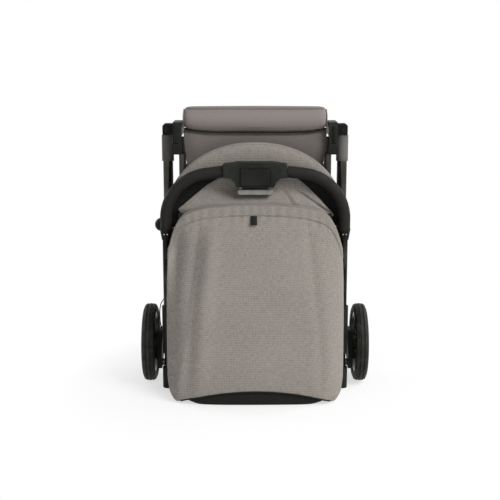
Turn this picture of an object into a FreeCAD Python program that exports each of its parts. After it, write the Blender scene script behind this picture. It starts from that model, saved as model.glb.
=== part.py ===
"""A compact pushchair, folded and standing on its wheels.

The frame is an accordion.  The upper frame (back uprights, seat joints, handle tubes) rises out of
two telescoping rear legs, the seat swings down to the front from the seat joints, and the front
legs hang from the knees at the seat's front edge.  Everything here is drawn at rest, folded.

Millimetres.  +X is the left-to-right direction seen from behind the pushchair, -Y faces the person
who pushes it, +Z is up, and the origin is on the floor.
"""
import FreeCAD, Part
import Sketcher
import math
import os
import re
from FreeCAD import Placement, Rotation, Vector

doc = FreeCAD.newDocument("FoldedPushchair")

# ------------------------------------------------------------------ driving dimensions
SIZES = [
    ("axle_line", 20.5, "rear axle line from the middle of the footprint"),
    ("rear_wheel_radius", 78, "rear wheel, also its axle height"),
    ("rear_wheel_across", 211, "middle of a rear wheel from the middle plane"),
    ("rear_tyre_width", 26, "width of a rear tyre"),
    ("front_wheel_radius", 50, "front wheel, also its axle height"),
    ("front_wheel_across", 125, "caster swivel axis from the middle plane"),
    ("front_tyre_width", 22, "width of a front tyre"),
    ("caster_depth", 45, "caster swivel axis behind the wheel axle line"),
    ("caster_trail", 14, "front axle behind the swivel axis"),
    ("leg_across", 173.5, "rear leg from the middle plane"),
    ("leg_depth", 35, "rear leg from the rear axle line"),
    ("leg_radius", 10, "outside of a rear leg"),
    ("leg_bore", 8, "inside of a rear leg"),
    ("inner_leg_radius", 7.5, "telescoping inner leg"),
    ("leg_foot", 108, "lower end of a rear leg"),
    ("leg_top", 450, "upper end of a rear leg"),
    ("sleeve_low", 443, "lower edge of the lock sleeve"),
    ("sleeve_top", 494, "upper edge of the lock sleeve"),
    ("inner_leg_top", 506, "upper end of the inner leg, in the clevis"),
    ("handle_across", 172.5, "handle tube from the middle plane"),
    ("handle_depth", -52, "plane of the handle bow"),
    ("handle_tube_radius", 7.2, "outside of a handle tube"),
    ("handle_tube_bore", 5.4, "inside of a handle tube"),
    ("bow_radius", 5.3, "rod of the handle bow"),
    ("bow_foot", 40, "lower end of the bow inside the tubes"),
    ("bow_shoulder", 340, "where the bow starts to curve"),
    ("bow_corner", 88, "corner radius of the bow"),
    ("grip_radius", 11.3, "outside of the foam grip"),
    ("collar_low", 299, "lower edge of the grip collar"),
    ("collar_top", 320, "upper edge of the grip collar"),
    ("rail_in", 136.5, "inner face of the seat rail and of the upright"),
    ("rail_width", 10.5, "width of a seat rail"),
    ("upright_width", 11, "width of an upright"),
    ("seat_pivot_y", 10, "seat joint, depth"),
    ("seat_pivot_z", 120, "seat joint, height"),
    ("knee_pivot_y", 30, "knee, depth"),
    ("knee_pivot_z", 458, "knee, height"),
    ("pin_radius", 4, "pivot pins"),
    ("pin_bore", 4.1, "holes for the pivot pins"),
    ("front_leg_across", 132, "front leg from the middle plane"),
    ("front_leg_radius", 10, "outside of a front leg"),
    ("seat_half", 135, "half width of the seat cushion"),
    ("bolster_half", 141, "half width of the calf bolster"),
    ("knee_in", 142.5, "inner face of the knee block"),
    ("knee_out", 159, "outer face of the knee block"),
    ("joint_in", 149, "inner face of the seat joint's web"),
    ("joint_out", 155, "outer face of the seat joint's web"),
    ("board_half", 147.5, "half width of the backrest board"),
    ("pocket_half", 168, "half width of the rear pocket"),
    ("recline_y", -54, "recline axis, depth"),
    ("recline_z", 118, "recline axis, height"),
    ("axle_tube_y", -31, "cross tube between the rear hubs, depth"),
    ("axle_tube_z", 45, "cross tube between the rear hubs, height"),
    ("axle_tube_radius", 7, "cross tube between the rear hubs"),
    ("canopy_pivot_y", -18, "canopy axis, depth"),
    ("canopy_pivot_z", 323, "canopy axis, height"),
    ("legrest_y", 10, "calf rest axis, depth"),
    ("legrest_z", 484, "calf rest axis, height"),
]
spec = doc.addObject("Spreadsheet::Sheet", "Spec")
for row, (alias, number, note) in enumerate(SIZES, start=1):
    spec.set(f"A{row}", str(number))
    spec.setAlias(f"A{row}", alias)
    spec.set(f"B{row}", note)
doc.recompute()

WORDS = {alias for alias, _, _ in SIZES}
RIGHT, LEFT = 1, -1
SIDES = ((LEFT, "left"), (RIGHT, "right"))
nodes = {}


# ------------------------------------------------------------------ helpers
def bound(text):
    """The expression with each size's word pointing at its cell."""
    return re.sub(r"[a-z_]+", lambda m: f"Spec.{m[0]}" if m[0] in WORDS else m[0], str(text))


def size(text):
    """The number that an expression of sizes gives now."""
    return float(spec.evalExpression(bound(text)))


def bind(thing, **values):
    """Sets each named size of thing to an expression of the sheet's cells."""
    for name, text in values.items():
        thing.setExpression(name, bound(text))


def place(thing, x="0", y="0", z="0", rotation=None):
    """Puts thing's own origin at a point whose depth is counted from the rear axle line."""
    if rotation is not None:
        thing.Placement = Placement(Vector(), rotation)
    for axis, text in (("x", x), ("y", f"axle_line + ({y})"), ("z", z)):
        thing.setExpression(f"Placement.Base.{axis}", bound(text))
    return thing


def node(thing, name):
    """Names a finished sub-part: its label is its file's name."""
    thing.Label = name
    nodes[name] = thing
    return thing


def origin_plane(body, role):
    return next(f for f in body.Origin.OriginFeatures if f.Role == role)


def outline(body, role, corners, name="Outline"):
    """A closed polygon in a sketch on one of the body's origin planes, each corner bound."""
    sketch = body.newObject("Sketcher::SketchObject", name)
    sketch.AttachmentSupport = [(origin_plane(body, role), "")]
    sketch.MapMode = "FlatFace"
    points = [Vector(size(a), size(b), 0) for a, b in corners]
    count = len(points)
    for i, point in enumerate(points):
        sketch.addGeometry(Part.LineSegment(point, points[(i + 1) % count]), False)
    for i in range(count):
        sketch.addConstraint(Sketcher.Constraint("Coincident", i, 2, (i + 1) % count, 1))
    for i, corner in enumerate(corners):
        for kind, text, number in zip(("DistanceX", "DistanceY"), corner, points[i]):
            which = sketch.addConstraint(Sketcher.Constraint(kind, -1, 1, i, 1, number))
            sketch.setExpression(f"Constraints[{which}]", bound(text))
    doc.recompute()
    return sketch


def slab(name, role, corners, width, soften=None, edges=None):
    """A body: an outline padded both ways from its plane, with its edges rounded if asked."""
    body = doc.addObject("PartDesign::Body", name)
    sketch = outline(body, role, corners)
    pad = body.newObject("PartDesign::Pad", "Pad")
    pad.Profile = sketch
    pad.Midplane = True
    bind(pad, Length=width)
    doc.recompute()
    if soften:
        picked = edges(pad.Shape) if edges else range(1, len(pad.Shape.Edges) + 1)
        fillet = body.newObject("PartDesign::Fillet", "Round")
        fillet.Base = (pad, [f"Edge{i}" for i in picked])
        bind(fillet, Radius=soften)
        doc.recompute()
    return place(body)


def along(direction):
    """Picks the straight edges that run one way."""
    def picked(shape):
        found = []
        for i, edge in enumerate(shape.Edges, start=1):
            run = edge.Vertexes[-1].Point - edge.Vertexes[0].Point
            if run.Length > 1e-6 and abs(run.normalize().dot(direction)) > 0.999:
                found.append(i)
        return found
    return picked


def not_along(direction):
    """Picks the edges that do not run one way."""
    def picked(shape):
        return [i for i in range(1, len(shape.Edges) + 1) if i not in along(direction)(shape)]
    return picked


def rod(name, radius, length, x="0", y="0", z="0", axis="Z"):
    """A cylinder that starts at a point and runs along +X, +Y or +Z."""
    turns = {"X": Rotation(Vector(0, 1, 0), 90), "Y": Rotation(Vector(1, 0, 0), -90), "Z": None}
    thing = doc.addObject("Part::Cylinder", name)
    bind(thing, Radius=radius, Height=length)
    return place(thing, x, y, z, turns[axis])


def cross_rod(name, radius, length, y, z, x="0"):
    """A cylinder along X whose middle is at x."""
    return rod(name, radius, length, f"{x} - ({length})/2", y, z, "X")


def brick(name, x, y, z, long_x, long_y, long_z):
    """A box with its lowest corner at a point."""
    thing = doc.addObject("Part::Box", name)
    bind(thing, Length=long_x, Width=long_y, Height=long_z)
    return place(thing, x, y, z)


def fuse(name, *things):
    joined = doc.addObject("Part::MultiFuse", name)
    joined.Shapes = list(things)
    joined.Refine = True
    return joined


def cut(name, base, *tools):
    tool = tools[0] if len(tools) == 1 else fuse(name + "Tool", *tools)
    left_over = doc.addObject("Part::Cut", name)
    left_over.Base, left_over.Tool = base, tool
    return left_over


def group(name, *things):
    """Several like solids that share one node."""
    several = doc.addObject("Part::Compound", name)
    several.Links = list(things)
    return node(several, name)


def ring(name, outer, inner, low, top, x, y):
    """An upright tube from low to top."""
    wall = rod(name + "Wall", outer, f"{top} - ({low})", x, y, low)
    bore = rod(name + "Bore", inner, f"{top} - ({low}) + 2", x, y, f"{low} - 1")
    return cut(name, wall, bore)


def at(side, text):
    """An expression for a place on one side of the middle plane."""
    return f"{side} * ({text})"


def span(side, inner, outer):
    """Lowest x and length of a piece that lies between two distances on one side."""
    start = at(side, inner) if side > 0 else at(side, outer)
    return start, f"{outer} - ({inner})"


def turned(name, corners, soften=None, edges=None):
    """A body of revolution about X: each corner is (distance along X, radius)."""
    body = doc.addObject("PartDesign::Body", name)
    sketch = outline(body, "XZ_Plane", corners)
    turn = body.newObject("PartDesign::Revolution", "Turn")
    turn.Profile = sketch
    turn.ReferenceAxis = (sketch, ["H_Axis"])
    turn.Angle = 360
    doc.recompute()
    if soften:
        fillet = body.newObject("PartDesign::Fillet", "Round")
        fillet.Base = (turn, [f"Edge{i}" for i in edges(turn.Shape)])
        bind(fillet, Radius=soften)
        doc.recompute()
    return body


def arch(half, foot, shoulder, corner, slope=8.0, reach=None):
    """An upside-down U in the XZ plane: legs, round corners and a shallow crown, all tangent.

    With reach, only the right half is made, and it stops at that distance from the middle."""
    tilt = math.radians(slope)
    crown = (half - corner) / math.sin(tilt) + corner
    middle = Vector(half - corner, 0, shoulder)

    def on_corner(angle):
        return middle + Vector(math.cos(angle), 0, math.sin(angle)) * corner

    ends = on_corner(math.pi / 2 - tilt)
    crown_z = shoulder + (corner - crown) * math.cos(tilt)

    def on_crown(x):
        return Vector(x, 0, crown_z + math.sqrt(crown * crown - x * x))

    bend = on_corner((math.pi / 2 - tilt) / 2)
    right = [Part.LineSegment(Vector(half, 0, foot), Vector(half, 0, shoulder)).toShape(),
             Part.Arc(Vector(half, 0, shoulder), bend, ends).toShape()]
    if reach is not None:
        last = Part.Arc(ends, on_crown((ends.x + reach) / 2), on_crown(reach))
        return Part.Wire(right + [last.toShape()])
    over = Vector(-ends.x, 0, ends.z)
    flip = Vector(-bend.x, 0, bend.z)
    rest = [Part.Arc(ends, on_crown(0), over).toShape(),
            Part.Arc(over, flip, Vector(-half, 0, shoulder)).toShape(),
            Part.LineSegment(Vector(-half, 0, shoulder), Vector(-half, 0, foot)).toShape()]
    return Part.Wire(right + rest)


def swept(wire, section):
    """The solid that a flat face makes as it runs along a wire in the XZ plane."""
    return wire.makePipeShell([section], True, False)


def disc(centre, normal, radius):
    return Part.Wire([Part.Circle(centre, normal, radius).toShape()])


def strip(centre, thick_x, wide_y):
    """A small upright-standing rectangle across the start of an arch's leg."""
    x, y = thick_x / 2, wide_y / 2
    corners = [(-x, -y), (x, -y), (x, y), (-x, y), (-x, -y)]
    return Part.makePolygon([centre + Vector(a, b, 0) for a, b in corners])


def feature(name, shape, y="0"):
    """A sub-part whose shape is made directly, then moved to its own depth."""
    thing = doc.addObject("Part::Feature", name)
    thing.Shape = shape
    return place(thing, "0", y)


# ------------------------------------------------------------------ rear legs, hubs and axle
def rear_frame():
    sleeves, axles = [], []
    for side, word in SIDES:
        x, y = at(side, "leg_across"), "leg_depth"
        node(ring(f"rear_leg_{word}", "leg_radius", "leg_bore", "leg_foot", "leg_top", x, y),
             f"rear_leg_{word}")
        wall = rod("SleeveWall", "leg_radius + 2", "sleeve_top - sleeve_low", x, y, "sleeve_low")
        seat = rod("SleeveSeat", "leg_radius", "leg_top - sleeve_low + 1", x, y, "sleeve_low - 1")
        bore = rod("SleeveBore", "inner_leg_radius + 0.1", "60", x, y, "sleeve_low - 1")
        sleeves.append(cut("Sleeve", wall, seat, bore))
        node(hub_bracket(side, word), f"hub_bracket_{word}")
        start, length = span(side, 188, 223)
        axles.append(rod("WheelAxle", "5", length, start, "0", "rear_wheel_radius", "X"))
    group("leg_sleeves", *sleeves)
    group("wheel_axles", *axles)
    node(cross_rod("AxleTube", "axle_tube_radius", "2 * 186", "axle_tube_y", "axle_tube_z"),
         "rear_axle_tube")


def hub_bracket(side, word):
    """The moulding that holds the foot of a rear leg, the wheel's hub and the cross tube's end."""
    corners = [(-46, 44), (-41, 34), (-28, 34), (10, 50), (24, 67), (48, 90), (48, 98),
               (-12, 98), (-25, 88), (-46, 56)]
    plate = slab(f"HubPlate_{word}", "YZ_Plane", corners, 9, 3, along(Vector(1, 0, 0)))
    place(plate, at(side, 190.5))
    start, length = span(side, 186, "rear_wheel_across - 12.5")
    boss = rod("HubBoss", "26", length, start, "0", "rear_wheel_radius", "X")
    socket = rod("LegSocket", "leg_radius + 2.5", "44", at(side, "leg_across"), "leg_depth", "103")
    start, length = span(side, 178.5, 188)
    lug = brick(f"LegLug_{word}", start, "25", "86", length, "20", "30")
    solid = fuse(f"HubSolid_{word}", plate, boss, socket, lug)
    start, length = span(side, 188, 226)
    axle_hole = rod("AxleHole", "5", length, start, "0", "rear_wheel_radius", "X")
    leg_hole = rod("LegHole", "leg_radius", "60", at(side, "leg_across"), "leg_depth", "leg_foot")
    return cut(f"hub_bracket_{word}", solid, axle_hole, leg_hole)


def brake():
    """A foot bar that turns on the cross tube and locks both rear hubs."""
    sleeve = cross_rod("BrakeSleeve", "axle_tube_radius + 4", "60", "axle_tube_y", "axle_tube_z", "90")
    pedal = slab("BrakePad", "YZ_Plane",
                 [(-63, 44), (-61, 40), (-36, 36), (-36, 44), (-61, 48), (-63, 47)], 52)
    place(pedal, "90")
    bore = cross_rod("BrakeBore", "axle_tube_radius + 0.1", "64", "axle_tube_y", "axle_tube_z", "90")
    node(cut("brake_pedal", fuse("BrakeSolid", sleeve, pedal), bore), "brake_pedal")


# ------------------------------------------------------------------ wheels
def tyre(name, radius, depth, width):
    """A rubber tyre with two grooves round its tread."""
    half = f"{width}/2"
    rim = f"{radius} - {depth}"
    corners = [(f"-{half} + 1", rim), (f"{half} - 1", rim), (half, f"{radius} - {depth} * 0.55"),
               (f"{half} * 0.8", f"{radius} - 2.4"), (f"{half} * 0.42", radius),
               (f"{half} * 0.34", f"{radius} - 1.8"), (f"{half} * 0.26", f"{radius} - 1.8"),
               (f"{half} * 0.18", radius), (f"-{half} * 0.18", radius),
               (f"-{half} * 0.26", f"{radius} - 1.8"), (f"-{half} * 0.34", f"{radius} - 1.8"),
               (f"-{half} * 0.42", radius), (f"-{half} * 0.8", f"{radius} - 2.4"),
               (f"-{half}", f"{radius} - {depth} * 0.55")]
    return turned(name, corners)


def rim(name, outer, width, hub_radius, bore, spokes):
    """A moulded wheel: a hub, a rim and a web with a window between each two spokes."""
    half, web = f"{width}/2", "4"
    corners = [(f"-{half}", bore), (half, bore), (half, hub_radius), (web, hub_radius),
               (web, f"{outer} - 9"), (f"{half} - 2", f"{outer} - 6"), (f"{half} - 2", outer),
               (f"-{half} + 2", outer), (f"-{half} + 2", f"{outer} - 6"), (f"-{web}", f"{outer} - 9"),
               (f"-{web}", hub_radius), (f"-{half}", hub_radius)]
    body = turned(name, corners)
    low, high = size(f"{hub_radius} + 4"), size(f"{outer} - 12")
    lean = math.pi / spokes
    sketch = outline(body, "YZ_Plane", [
        (f"-{low} * {math.sin(lean * 0.55):.4f}", f"{hub_radius} + 4"),
        (f"{low} * {math.sin(lean * 0.55):.4f}", f"{hub_radius} + 4"),
        (f"{high} * {math.sin(lean * 0.72):.4f}", f"{outer} - 13"),
        (f"-{high} * {math.sin(lean * 0.72):.4f}", f"{outer} - 13")], "Window")
    window = body.newObject("PartDesign::Pocket", "Windows")
    window.Profile = sketch
    window.Type = 1
    window.Midplane = True
    doc.recompute()
    pattern = body.newObject("PartDesign::PolarPattern", "Spokes")
    pattern.Originals = [window]
    pattern.Axis = (next(f for f in body.Origin.OriginFeatures if f.Role == "X_Axis"), [""])
    pattern.Angle = 360
    pattern.Occurrences = spokes
    body.Tip = pattern
    doc.recompute()
    return body


def rear_wheels():
    for side, word in SIDES:
        x, z = at(side, "rear_wheel_across"), "rear_wheel_radius"
        node(place(tyre("RearTyre", "rear_wheel_radius", 15, "rear_tyre_width"), x, "0", z),
             f"rear_tyre_{word}")
        node(place(rim("RearRim", "rear_wheel_radius - 15", "24", 18, 5.1, 9), x, "0", z),
             f"rear_rim_{word}")
        start, length = span(side, 223.2, 226)
        node(rod("RearCap", "15", length, start, "0", z, "X"), f"rear_cap_{word}")


def front_wheels():
    for side, word in SIDES:
        x, y, z = at(side, "front_wheel_across"), "caster_depth + caster_trail", "front_wheel_radius"
        node(place(tyre("FrontTyre", "front_wheel_radius", 9, "front_tyre_width"), x, y, z),
             f"front_tyre_{word}")
        node(place(rim("FrontRim", "front_wheel_radius - 9", "20", 11, 4.1, 7), x, y, z),
             f"front_rim_{word}")
        node(caster_fork(side, word), f"caster_fork_{word}")


def caster_fork(side, word):
    """A fork that trails its wheel and swivels on an upright stem."""
    x, y = at(side, "front_wheel_across"), "caster_depth"
    crown = rod("ForkCrown", "15", "9", x, y, "101.5")
    stem = rod("ForkStem", "6", "27", x, y, "110.5")
    arms = []
    for half in (-1, 1):
        arm = slab(f"ForkArm_{word}", "YZ_Plane",
                   [(38, 110.5), (32, 102), (50, 44), (59, 40), (68, 46), (68, 56), (58, 110.5)], 3.4)
        arms.append(place(arm, f"{x} + {half} * 13.4"))
    pin = cross_rod("ForkAxle", "4", "30", f"{y} + caster_trail", "front_wheel_radius", x)
    return fuse(f"caster_fork_{word}", crown, stem, *arms, pin)


# ------------------------------------------------------------------ front legs
def front_frame():
    housings = []
    for side, word in SIDES:
        node(front_leg(side, word), f"front_leg_{word}")
        block = slab("CasterBlock", "XY_Plane", [(-17, -12), (-12, -17), (12, -17), (17, -12), (17, 12),
                                                 (12, 17), (-12, 17), (-17, 12)], 38, 2)
        place(block, at(side, "front_wheel_across"), "caster_depth", "130.5")
        bore = rod("CasterBore", "6.1", "29", at(side, "front_wheel_across"), "caster_depth", "110")
        housings.append(cut("CasterHousing", block, bore))
    group("caster_housings", *housings)
    node(cross_rod("FrontCross", "7", "2 * (front_wheel_across - 17)", "caster_depth", "131"),
         "front_crossbar")


def front_leg(side, word):
    """A round leg whose flattened top turns on the knee pin."""
    tube = rod("LegTube", "front_leg_radius", "436 - 149.5", at(side, "front_leg_across"),
               "caster_depth", "149.5")
    lug = slab(f"KneeLug_{word}", "YZ_Plane",
               [(20, 452), (25, 444), (37, 425), (37, 402), (53, 402), (53, 432), (40, 462), (35, 467.5),
                (25, 467.5), (20, 464)], 10)
    place(lug, at(side, 130.5))
    start, length = span(side, 125.5, "rail_in + rail_width")
    pin = rod("KneePin", "pin_radius", length, start, "knee_pivot_y", "knee_pivot_z", "X")
    return fuse(f"front_leg_{word}", tube, lug, pin)


# ------------------------------------------------------------------ seat
def seat():
    for side, word in SIDES:
        node(seat_rail(side, word), f"seat_rail_{word}")
    node(brick("SeatBoard", "-rail_in", "15", "125", "2 * rail_in", "4", "305"), "seat_board")
    cushion = slab("SeatCushion", "YZ_Plane", [(-8, 144), (-2, 132), (15, 132), (15, 474), (-2, 474),
                                               (-8, 468)], "2 * seat_half", 5,
                   along(Vector(1, 0, 0)))
    node(cushion, "seat_cushion")
    node(cross_rod("LegrestRod", "pin_radius", "2 * rail_in", "legrest_y", "legrest_z"),
         "legrest_rod")


def seat_rail(side, word):
    """The side rail between the seat joint and the knee."""
    bar = slab(f"RailBar_{word}", "YZ_Plane",
               [(1, 114), (5, 110), (15, 110), (19, 114), (19, 432), (40, 450), (40, 464), (34, 469),
                (19, 471), (19, 490), (16, 493), (4, 493), (1, 490)], "rail_width", 1.5,
               along(Vector(1, 0, 0)))
    place(bar, at(side, "rail_in + rail_width/2"))
    holes = [cross_rod("RailHole", "pin_bore", "30", y, z, at(side, "rail_in + 5"))
             for y, z in (("seat_pivot_y", "seat_pivot_z"), ("knee_pivot_y", "knee_pivot_z"))]
    return cut(f"seat_rail_{word}", bar, *holes)


def legrest():
    board = slab("LegrestBoard", "YZ_Plane", [(2, 484), (5, 477), (15, 477), (18, 484), (16, 500),
                                              (4, 500)], "2 * rail_in - 2")
    bore = cross_rod("LegrestBore", "pin_bore", "2 * rail_in + 4", "legrest_y", "legrest_z")
    node(cut("legrest_board", board, bore), "legrest_board")
    bolster = slab("LegrestBolster", "YZ_Plane",
                   [(-10, 500), (24, 500), (38, 512), (40, 535), (32, 551), (14, 556), (-8, 554),
                    (-20, 543), (-23, 522), (-19, 506)], "2 * bolster_half", 6,
                   not_along(Vector(1, 0, 0)))
    node(bolster, "legrest_bolster")


# ------------------------------------------------------------------ upper frame
def upper_frame():
    inner, clevises, feet, pins = [], [], [], []
    for side, word in SIDES:
        x, y = at(side, "leg_across"), "leg_depth"
        inner.append(rod("InnerLeg", "inner_leg_radius", "inner_leg_top - 114", x, y, "114"))
        clevises.append(knee_clevis(side, word))
        node(knee_block(side, word), f"knee_block_{word}")
        upright = slab("Upright", "XY_Plane", [(-5.5, -8), (5.5, -8), (5.5, 8), (-5.5, 8)], 295, 3,
                       along(Vector(0, 0, 1)))
        node(place(upright, at(side, "rail_in + upright_width/2"), "canopy_pivot_y", "314.5"),
             f"upright_{word}")
        node(seat_joint(side, word), f"seat_joint_{word}")
        across = at(side, "handle_across")
        node(ring("HandleTube", "handle_tube_radius", "handle_tube_bore", "8", "collar_low - 0.5",
                  across, "handle_depth"), f"handle_tube_{word}")
        cap = rod("FootCap", "11", "42", across, "handle_depth", "0")
        seat_hole = rod("FootHole", "handle_tube_radius", "40", across, "handle_depth", "8")
        feet.append(cut("Foot", cap, seat_hole))
        start, length = span(side, 127, "rail_in")
        pins.append(rod("CanopyPin", "3.5", length, start, "canopy_pivot_y", "canopy_pivot_z", "X"))
    start, length = span(LEFT, "rail_in + upright_width", 181.5)
    pins.append(rod("LatchPin", "3.5", length, start, "canopy_pivot_y", "canopy_pivot_z", "X"))
    group("inner_legs", *inner)
    group("knee_clevises", *clevises)
    group("tube_feet", *feet)
    group("canopy_pins", *pins)
    node(cross_rod("BackCross", "7", "2 * rail_in", "canopy_pivot_y", "220"), "back_crossbar")
    node(cross_rod("ReclineRod", "pin_radius", "2 * (joint_out - 2)", "recline_y", "recline_z"),
         "recline_rod")


def knee_block(side, word):
    """The arm that carries an upright's top across to the rear leg, above the seat rail."""
    arm = slab(f"knee_block_{word}", "YZ_Plane",
               [(-26, 462), (-6, 462), (-6, 497), (44, 497), (48, 501), (48, 517), (42, 523),
                (-18, 523), (-26, 515)], "knee_out - knee_in", 3, along(Vector(1, 0, 0)))
    return place(arm, at(side, "(knee_in + knee_out)/2"))


def knee_clevis(side, word):
    """The cap that joins an inner leg's top to the knee block, with its rivet."""
    outline_x = [("knee_out - leg_across", 495), (9.5, 495), (9.5, 513), (5.5, 517),
                 ("knee_out - leg_across", 517)]
    block = slab(f"ClevisBlock_{word}", "XZ_Plane", outline_x, 25)
    turn = Rotation(Vector(0, 0, 1), 180) if side == LEFT else None
    place(block, at(side, "leg_across"), "leg_depth", "0", turn)
    rivet = rod("ClevisRivet", "5", "3", at(side, "leg_across + 1"), "leg_depth - 15.5", "506", "Y")
    hole = rod("ClevisHole", "inner_leg_radius", "12", at(side, "leg_across"), "leg_depth",
               "inner_leg_top - 12")
    return cut("KneeClevis", fuse(f"ClevisSolid_{word}", block, rivet), hole)


def seat_joint(side, word):
    """The moulding at the seat's rear corner: handle tube sleeve, upright's foot and seat pin."""
    sleeve = rod("JointSleeve", "10.5", "96", at(side, "handle_across"), "handle_depth", "71")
    web = slab(f"JointWeb_{word}", "YZ_Plane",
               [(-58, 90), (-50, 80), (-32, 76), (12, 108), (20, 116), (20, 124), (12, 131), (-8, 142),
                (-8, 167), (-44, 167), (-58, 150)], "joint_out - joint_in")
    place(web, at(side, "(joint_in + joint_out)/2"))
    start, length = span(side, "joint_in", "handle_across - 5")
    bridge = brick(f"JointBridge_{word}", start, "-58", "90", length, "12", "60")
    start, length = span(side, "rail_in", "joint_out")
    foot = brick(f"UprightFoot_{word}", start, "-28", "141", length, "20", "26")
    pin = rod("SeatPin", "pin_radius", length, start, "seat_pivot_y", "seat_pivot_z", "X")
    solid = fuse(f"JointSolid_{word}", sleeve, web, bridge, foot, pin)
    bore = rod("JointBore", "handle_tube_radius", "100", at(side, "handle_across"), "handle_depth", "69")
    rod_hole = cross_rod("RodHole", "pin_radius", "2 * (joint_out - 2)", "recline_y", "recline_z")
    return cut(f"seat_joint_{word}", solid, bore, rod_hole)


def storage_latch():
    """A domed knob on the left with a finger that lies across the rear leg when folded."""
    knob = turned("LatchKnob", [(148, 3.6), (182, 3.6), (182, 0.001), (197, 0.001), (196.6, 3.4),
                                (195.4, 6.6), (193.2, 9.5), (190.4, 11.6), (187, 13), (183.7, 13.3),
                                (180.5, 13.3), (180.5, 6), (148, 6)])
    place(knob, "0", "canopy_pivot_y", "canopy_pivot_z", Rotation(Vector(0, 0, 1), 180))
    finger = slab("LatchFinger", "YZ_Plane", [(-22, 320), (-14, 318), (12, 306), (18, 310), (17, 318),
                                              (-12, 328), (-20, 328)], 4)
    place(finger, "-172")
    bore = rod("LatchBore", "3.6", "40", "-182", "canopy_pivot_y", "canopy_pivot_z", "X")
    node(cut("storage_latch", fuse("LatchSolid", knob, finger), bore), "storage_latch")


# ------------------------------------------------------------------ handle
def handle():
    half, foot, shoulder = size("handle_across"), size("bow_foot"), size("bow_shoulder")
    corner, up = size("bow_corner"), Vector(0, 0, 1)
    whole = arch(half, foot, shoulder, corner)
    rod_section = disc(Vector(half, 0, foot), up, size("bow_radius"))
    node(feature("HandleBow", swept(whole, rod_section), "handle_depth"), "handle_bow")

    grip_start = Vector(half, 0, size("collar_top"))
    grip_line = arch(half, size("collar_top"), shoulder, corner, reach=62)
    foam = swept(grip_line, disc(grip_start, up, size("grip_radius")))
    grip = foam.cut(swept(grip_line, disc(grip_start, up, size("bow_radius"))))
    for word, shape in (("right", grip), ("left", grip.mirror(Vector(), Vector(1, 0, 0)))):
        node(feature(f"Grip_{word}", shape, "handle_depth"), f"handle_grip_{word}")

    collars, screws = [], []
    for side, word in SIDES:
        cone = doc.addObject("Part::Cone", "CollarCone")
        bind(cone, Radius1="grip_radius - 2.8", Radius2="grip_radius + 0.8",
             Height="collar_top - collar_low")
        place(cone, at(side, "handle_across"), "handle_depth", "collar_low")
        bore = rod("CollarBore", "bow_radius", "30", at(side, "handle_across"), "handle_depth",
                   "collar_low - 1")
        collars.append(cut("Collar", cone, bore))
        for shift in (-3, 3):
            screws.append(rod("CollarScrew", "1.1", "0.85", at(side, f"handle_across + {shift}"),
                              "handle_depth - 11.4", "311", "Y"))
        screws.append(rod("HousingScrew", "2.6", "1.2", at(side, 46), "handle_depth - 16.2", "434", "Y"))
    group("grip_collars", *collars)
    group("housing_screws", *screws)
    housing(whole, rod_section)


def housing(whole, rod_section):
    """The unit in the middle of the bow, with the fold button in its face and the squeeze lever."""
    block = slab("HousingBlock", "XZ_Plane",
                 [(-61, 421), (-47, 419), (-40, 412), (-36, 402.5), (36, 402.5), (40, 412), (47, 419),
                  (61, 421), (61, 446), (33, 450), (-33, 450), (-61, 446)], 30, 2.5,
                 along(Vector(0, 1, 0)))
    place(block, "0", "handle_depth")
    channel = feature("BowChannel", swept(whole, rod_section), "handle_depth")
    wells = [brick("ButtonWell", "-29", "handle_depth - 17", "405", "58", "9", "34")]
    wells += [brick("LeverWell", f"{x} - 4", "handle_depth - 7", "398", "8", "12", "20")
              for x in (-28, 28)]
    node(cut("handle_housing", block, channel, *wells), "handle_housing")
    button = slab("FoldButton", "XZ_Plane", [(-28.5, 405.5), (28.5, 405.5), (28.5, 438.5), (-28.5, 438.5)],
                  4.5, 1.2)
    node(place(button, "0", "handle_depth - 15"), "fold_button")
    bar = slab("LeverBar", "XZ_Plane", [(-34, 390), (-30, 387), (30, 387), (34, 390), (34, 397.5),
                                        (-34, 397.5)], 13, 1.5)
    place(bar, "0", "handle_depth - 1")
    stems = [brick("LeverStem", f"{x} - 3", "handle_depth - 5", "396.5", "6", "8", "15")
             for x in (-28, 28)]
    node(fuse("squeeze_lever", bar, *stems), "squeeze_lever")


# ------------------------------------------------------------------ canopy
def canopy():
    """The front bow, which turns inside the uprights, and the folded fabric behind the handle."""
    half, thick, wide = 132.0, 3.5, 8.0
    line = arch(half, size("canopy_pivot_z"), 345.0, 110.0, slope=10.0)
    bow = swept(line, strip(Vector(half, 0, size("canopy_pivot_z")), thick, wide))
    for side in (RIGHT, LEFT):
        inner = Vector(side * half - thick / 2, 0, size("canopy_pivot_z"))
        bow = bow.fuse(Part.makeCylinder(8, thick, inner, Vector(1, 0, 0)))
        bow = bow.cut(Part.makeCylinder(3.6, thick, inner, Vector(1, 0, 0)))
    node(feature("CanopyBow", bow.removeSplitter(), "canopy_pivot_y"), "canopy_bow")
    node(place(crowned("CanopyFolded", 176, 340, 478, 372, "9.6"), "0", "-31.8"), "canopy_folded")


# ------------------------------------------------------------------ backrest and rear pocket
def crowned(name, half, low, high, shoulder, depth):
    """An upright slab seen from behind: straight sides and an arched top."""
    rise = high - shoulder
    arched = [(half, shoulder), (0.94 * half, shoulder + 0.36 * rise), (0.74 * half, shoulder + 0.70 * rise),
              (0.42 * half, shoulder + 0.92 * rise), (0, high)]
    mirrored = [(-x, z) for x, z in reversed(arched[:-1])]
    return slab(name, "XZ_Plane", [(-half, low), (half, low)] + arched + mirrored, depth)


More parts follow.
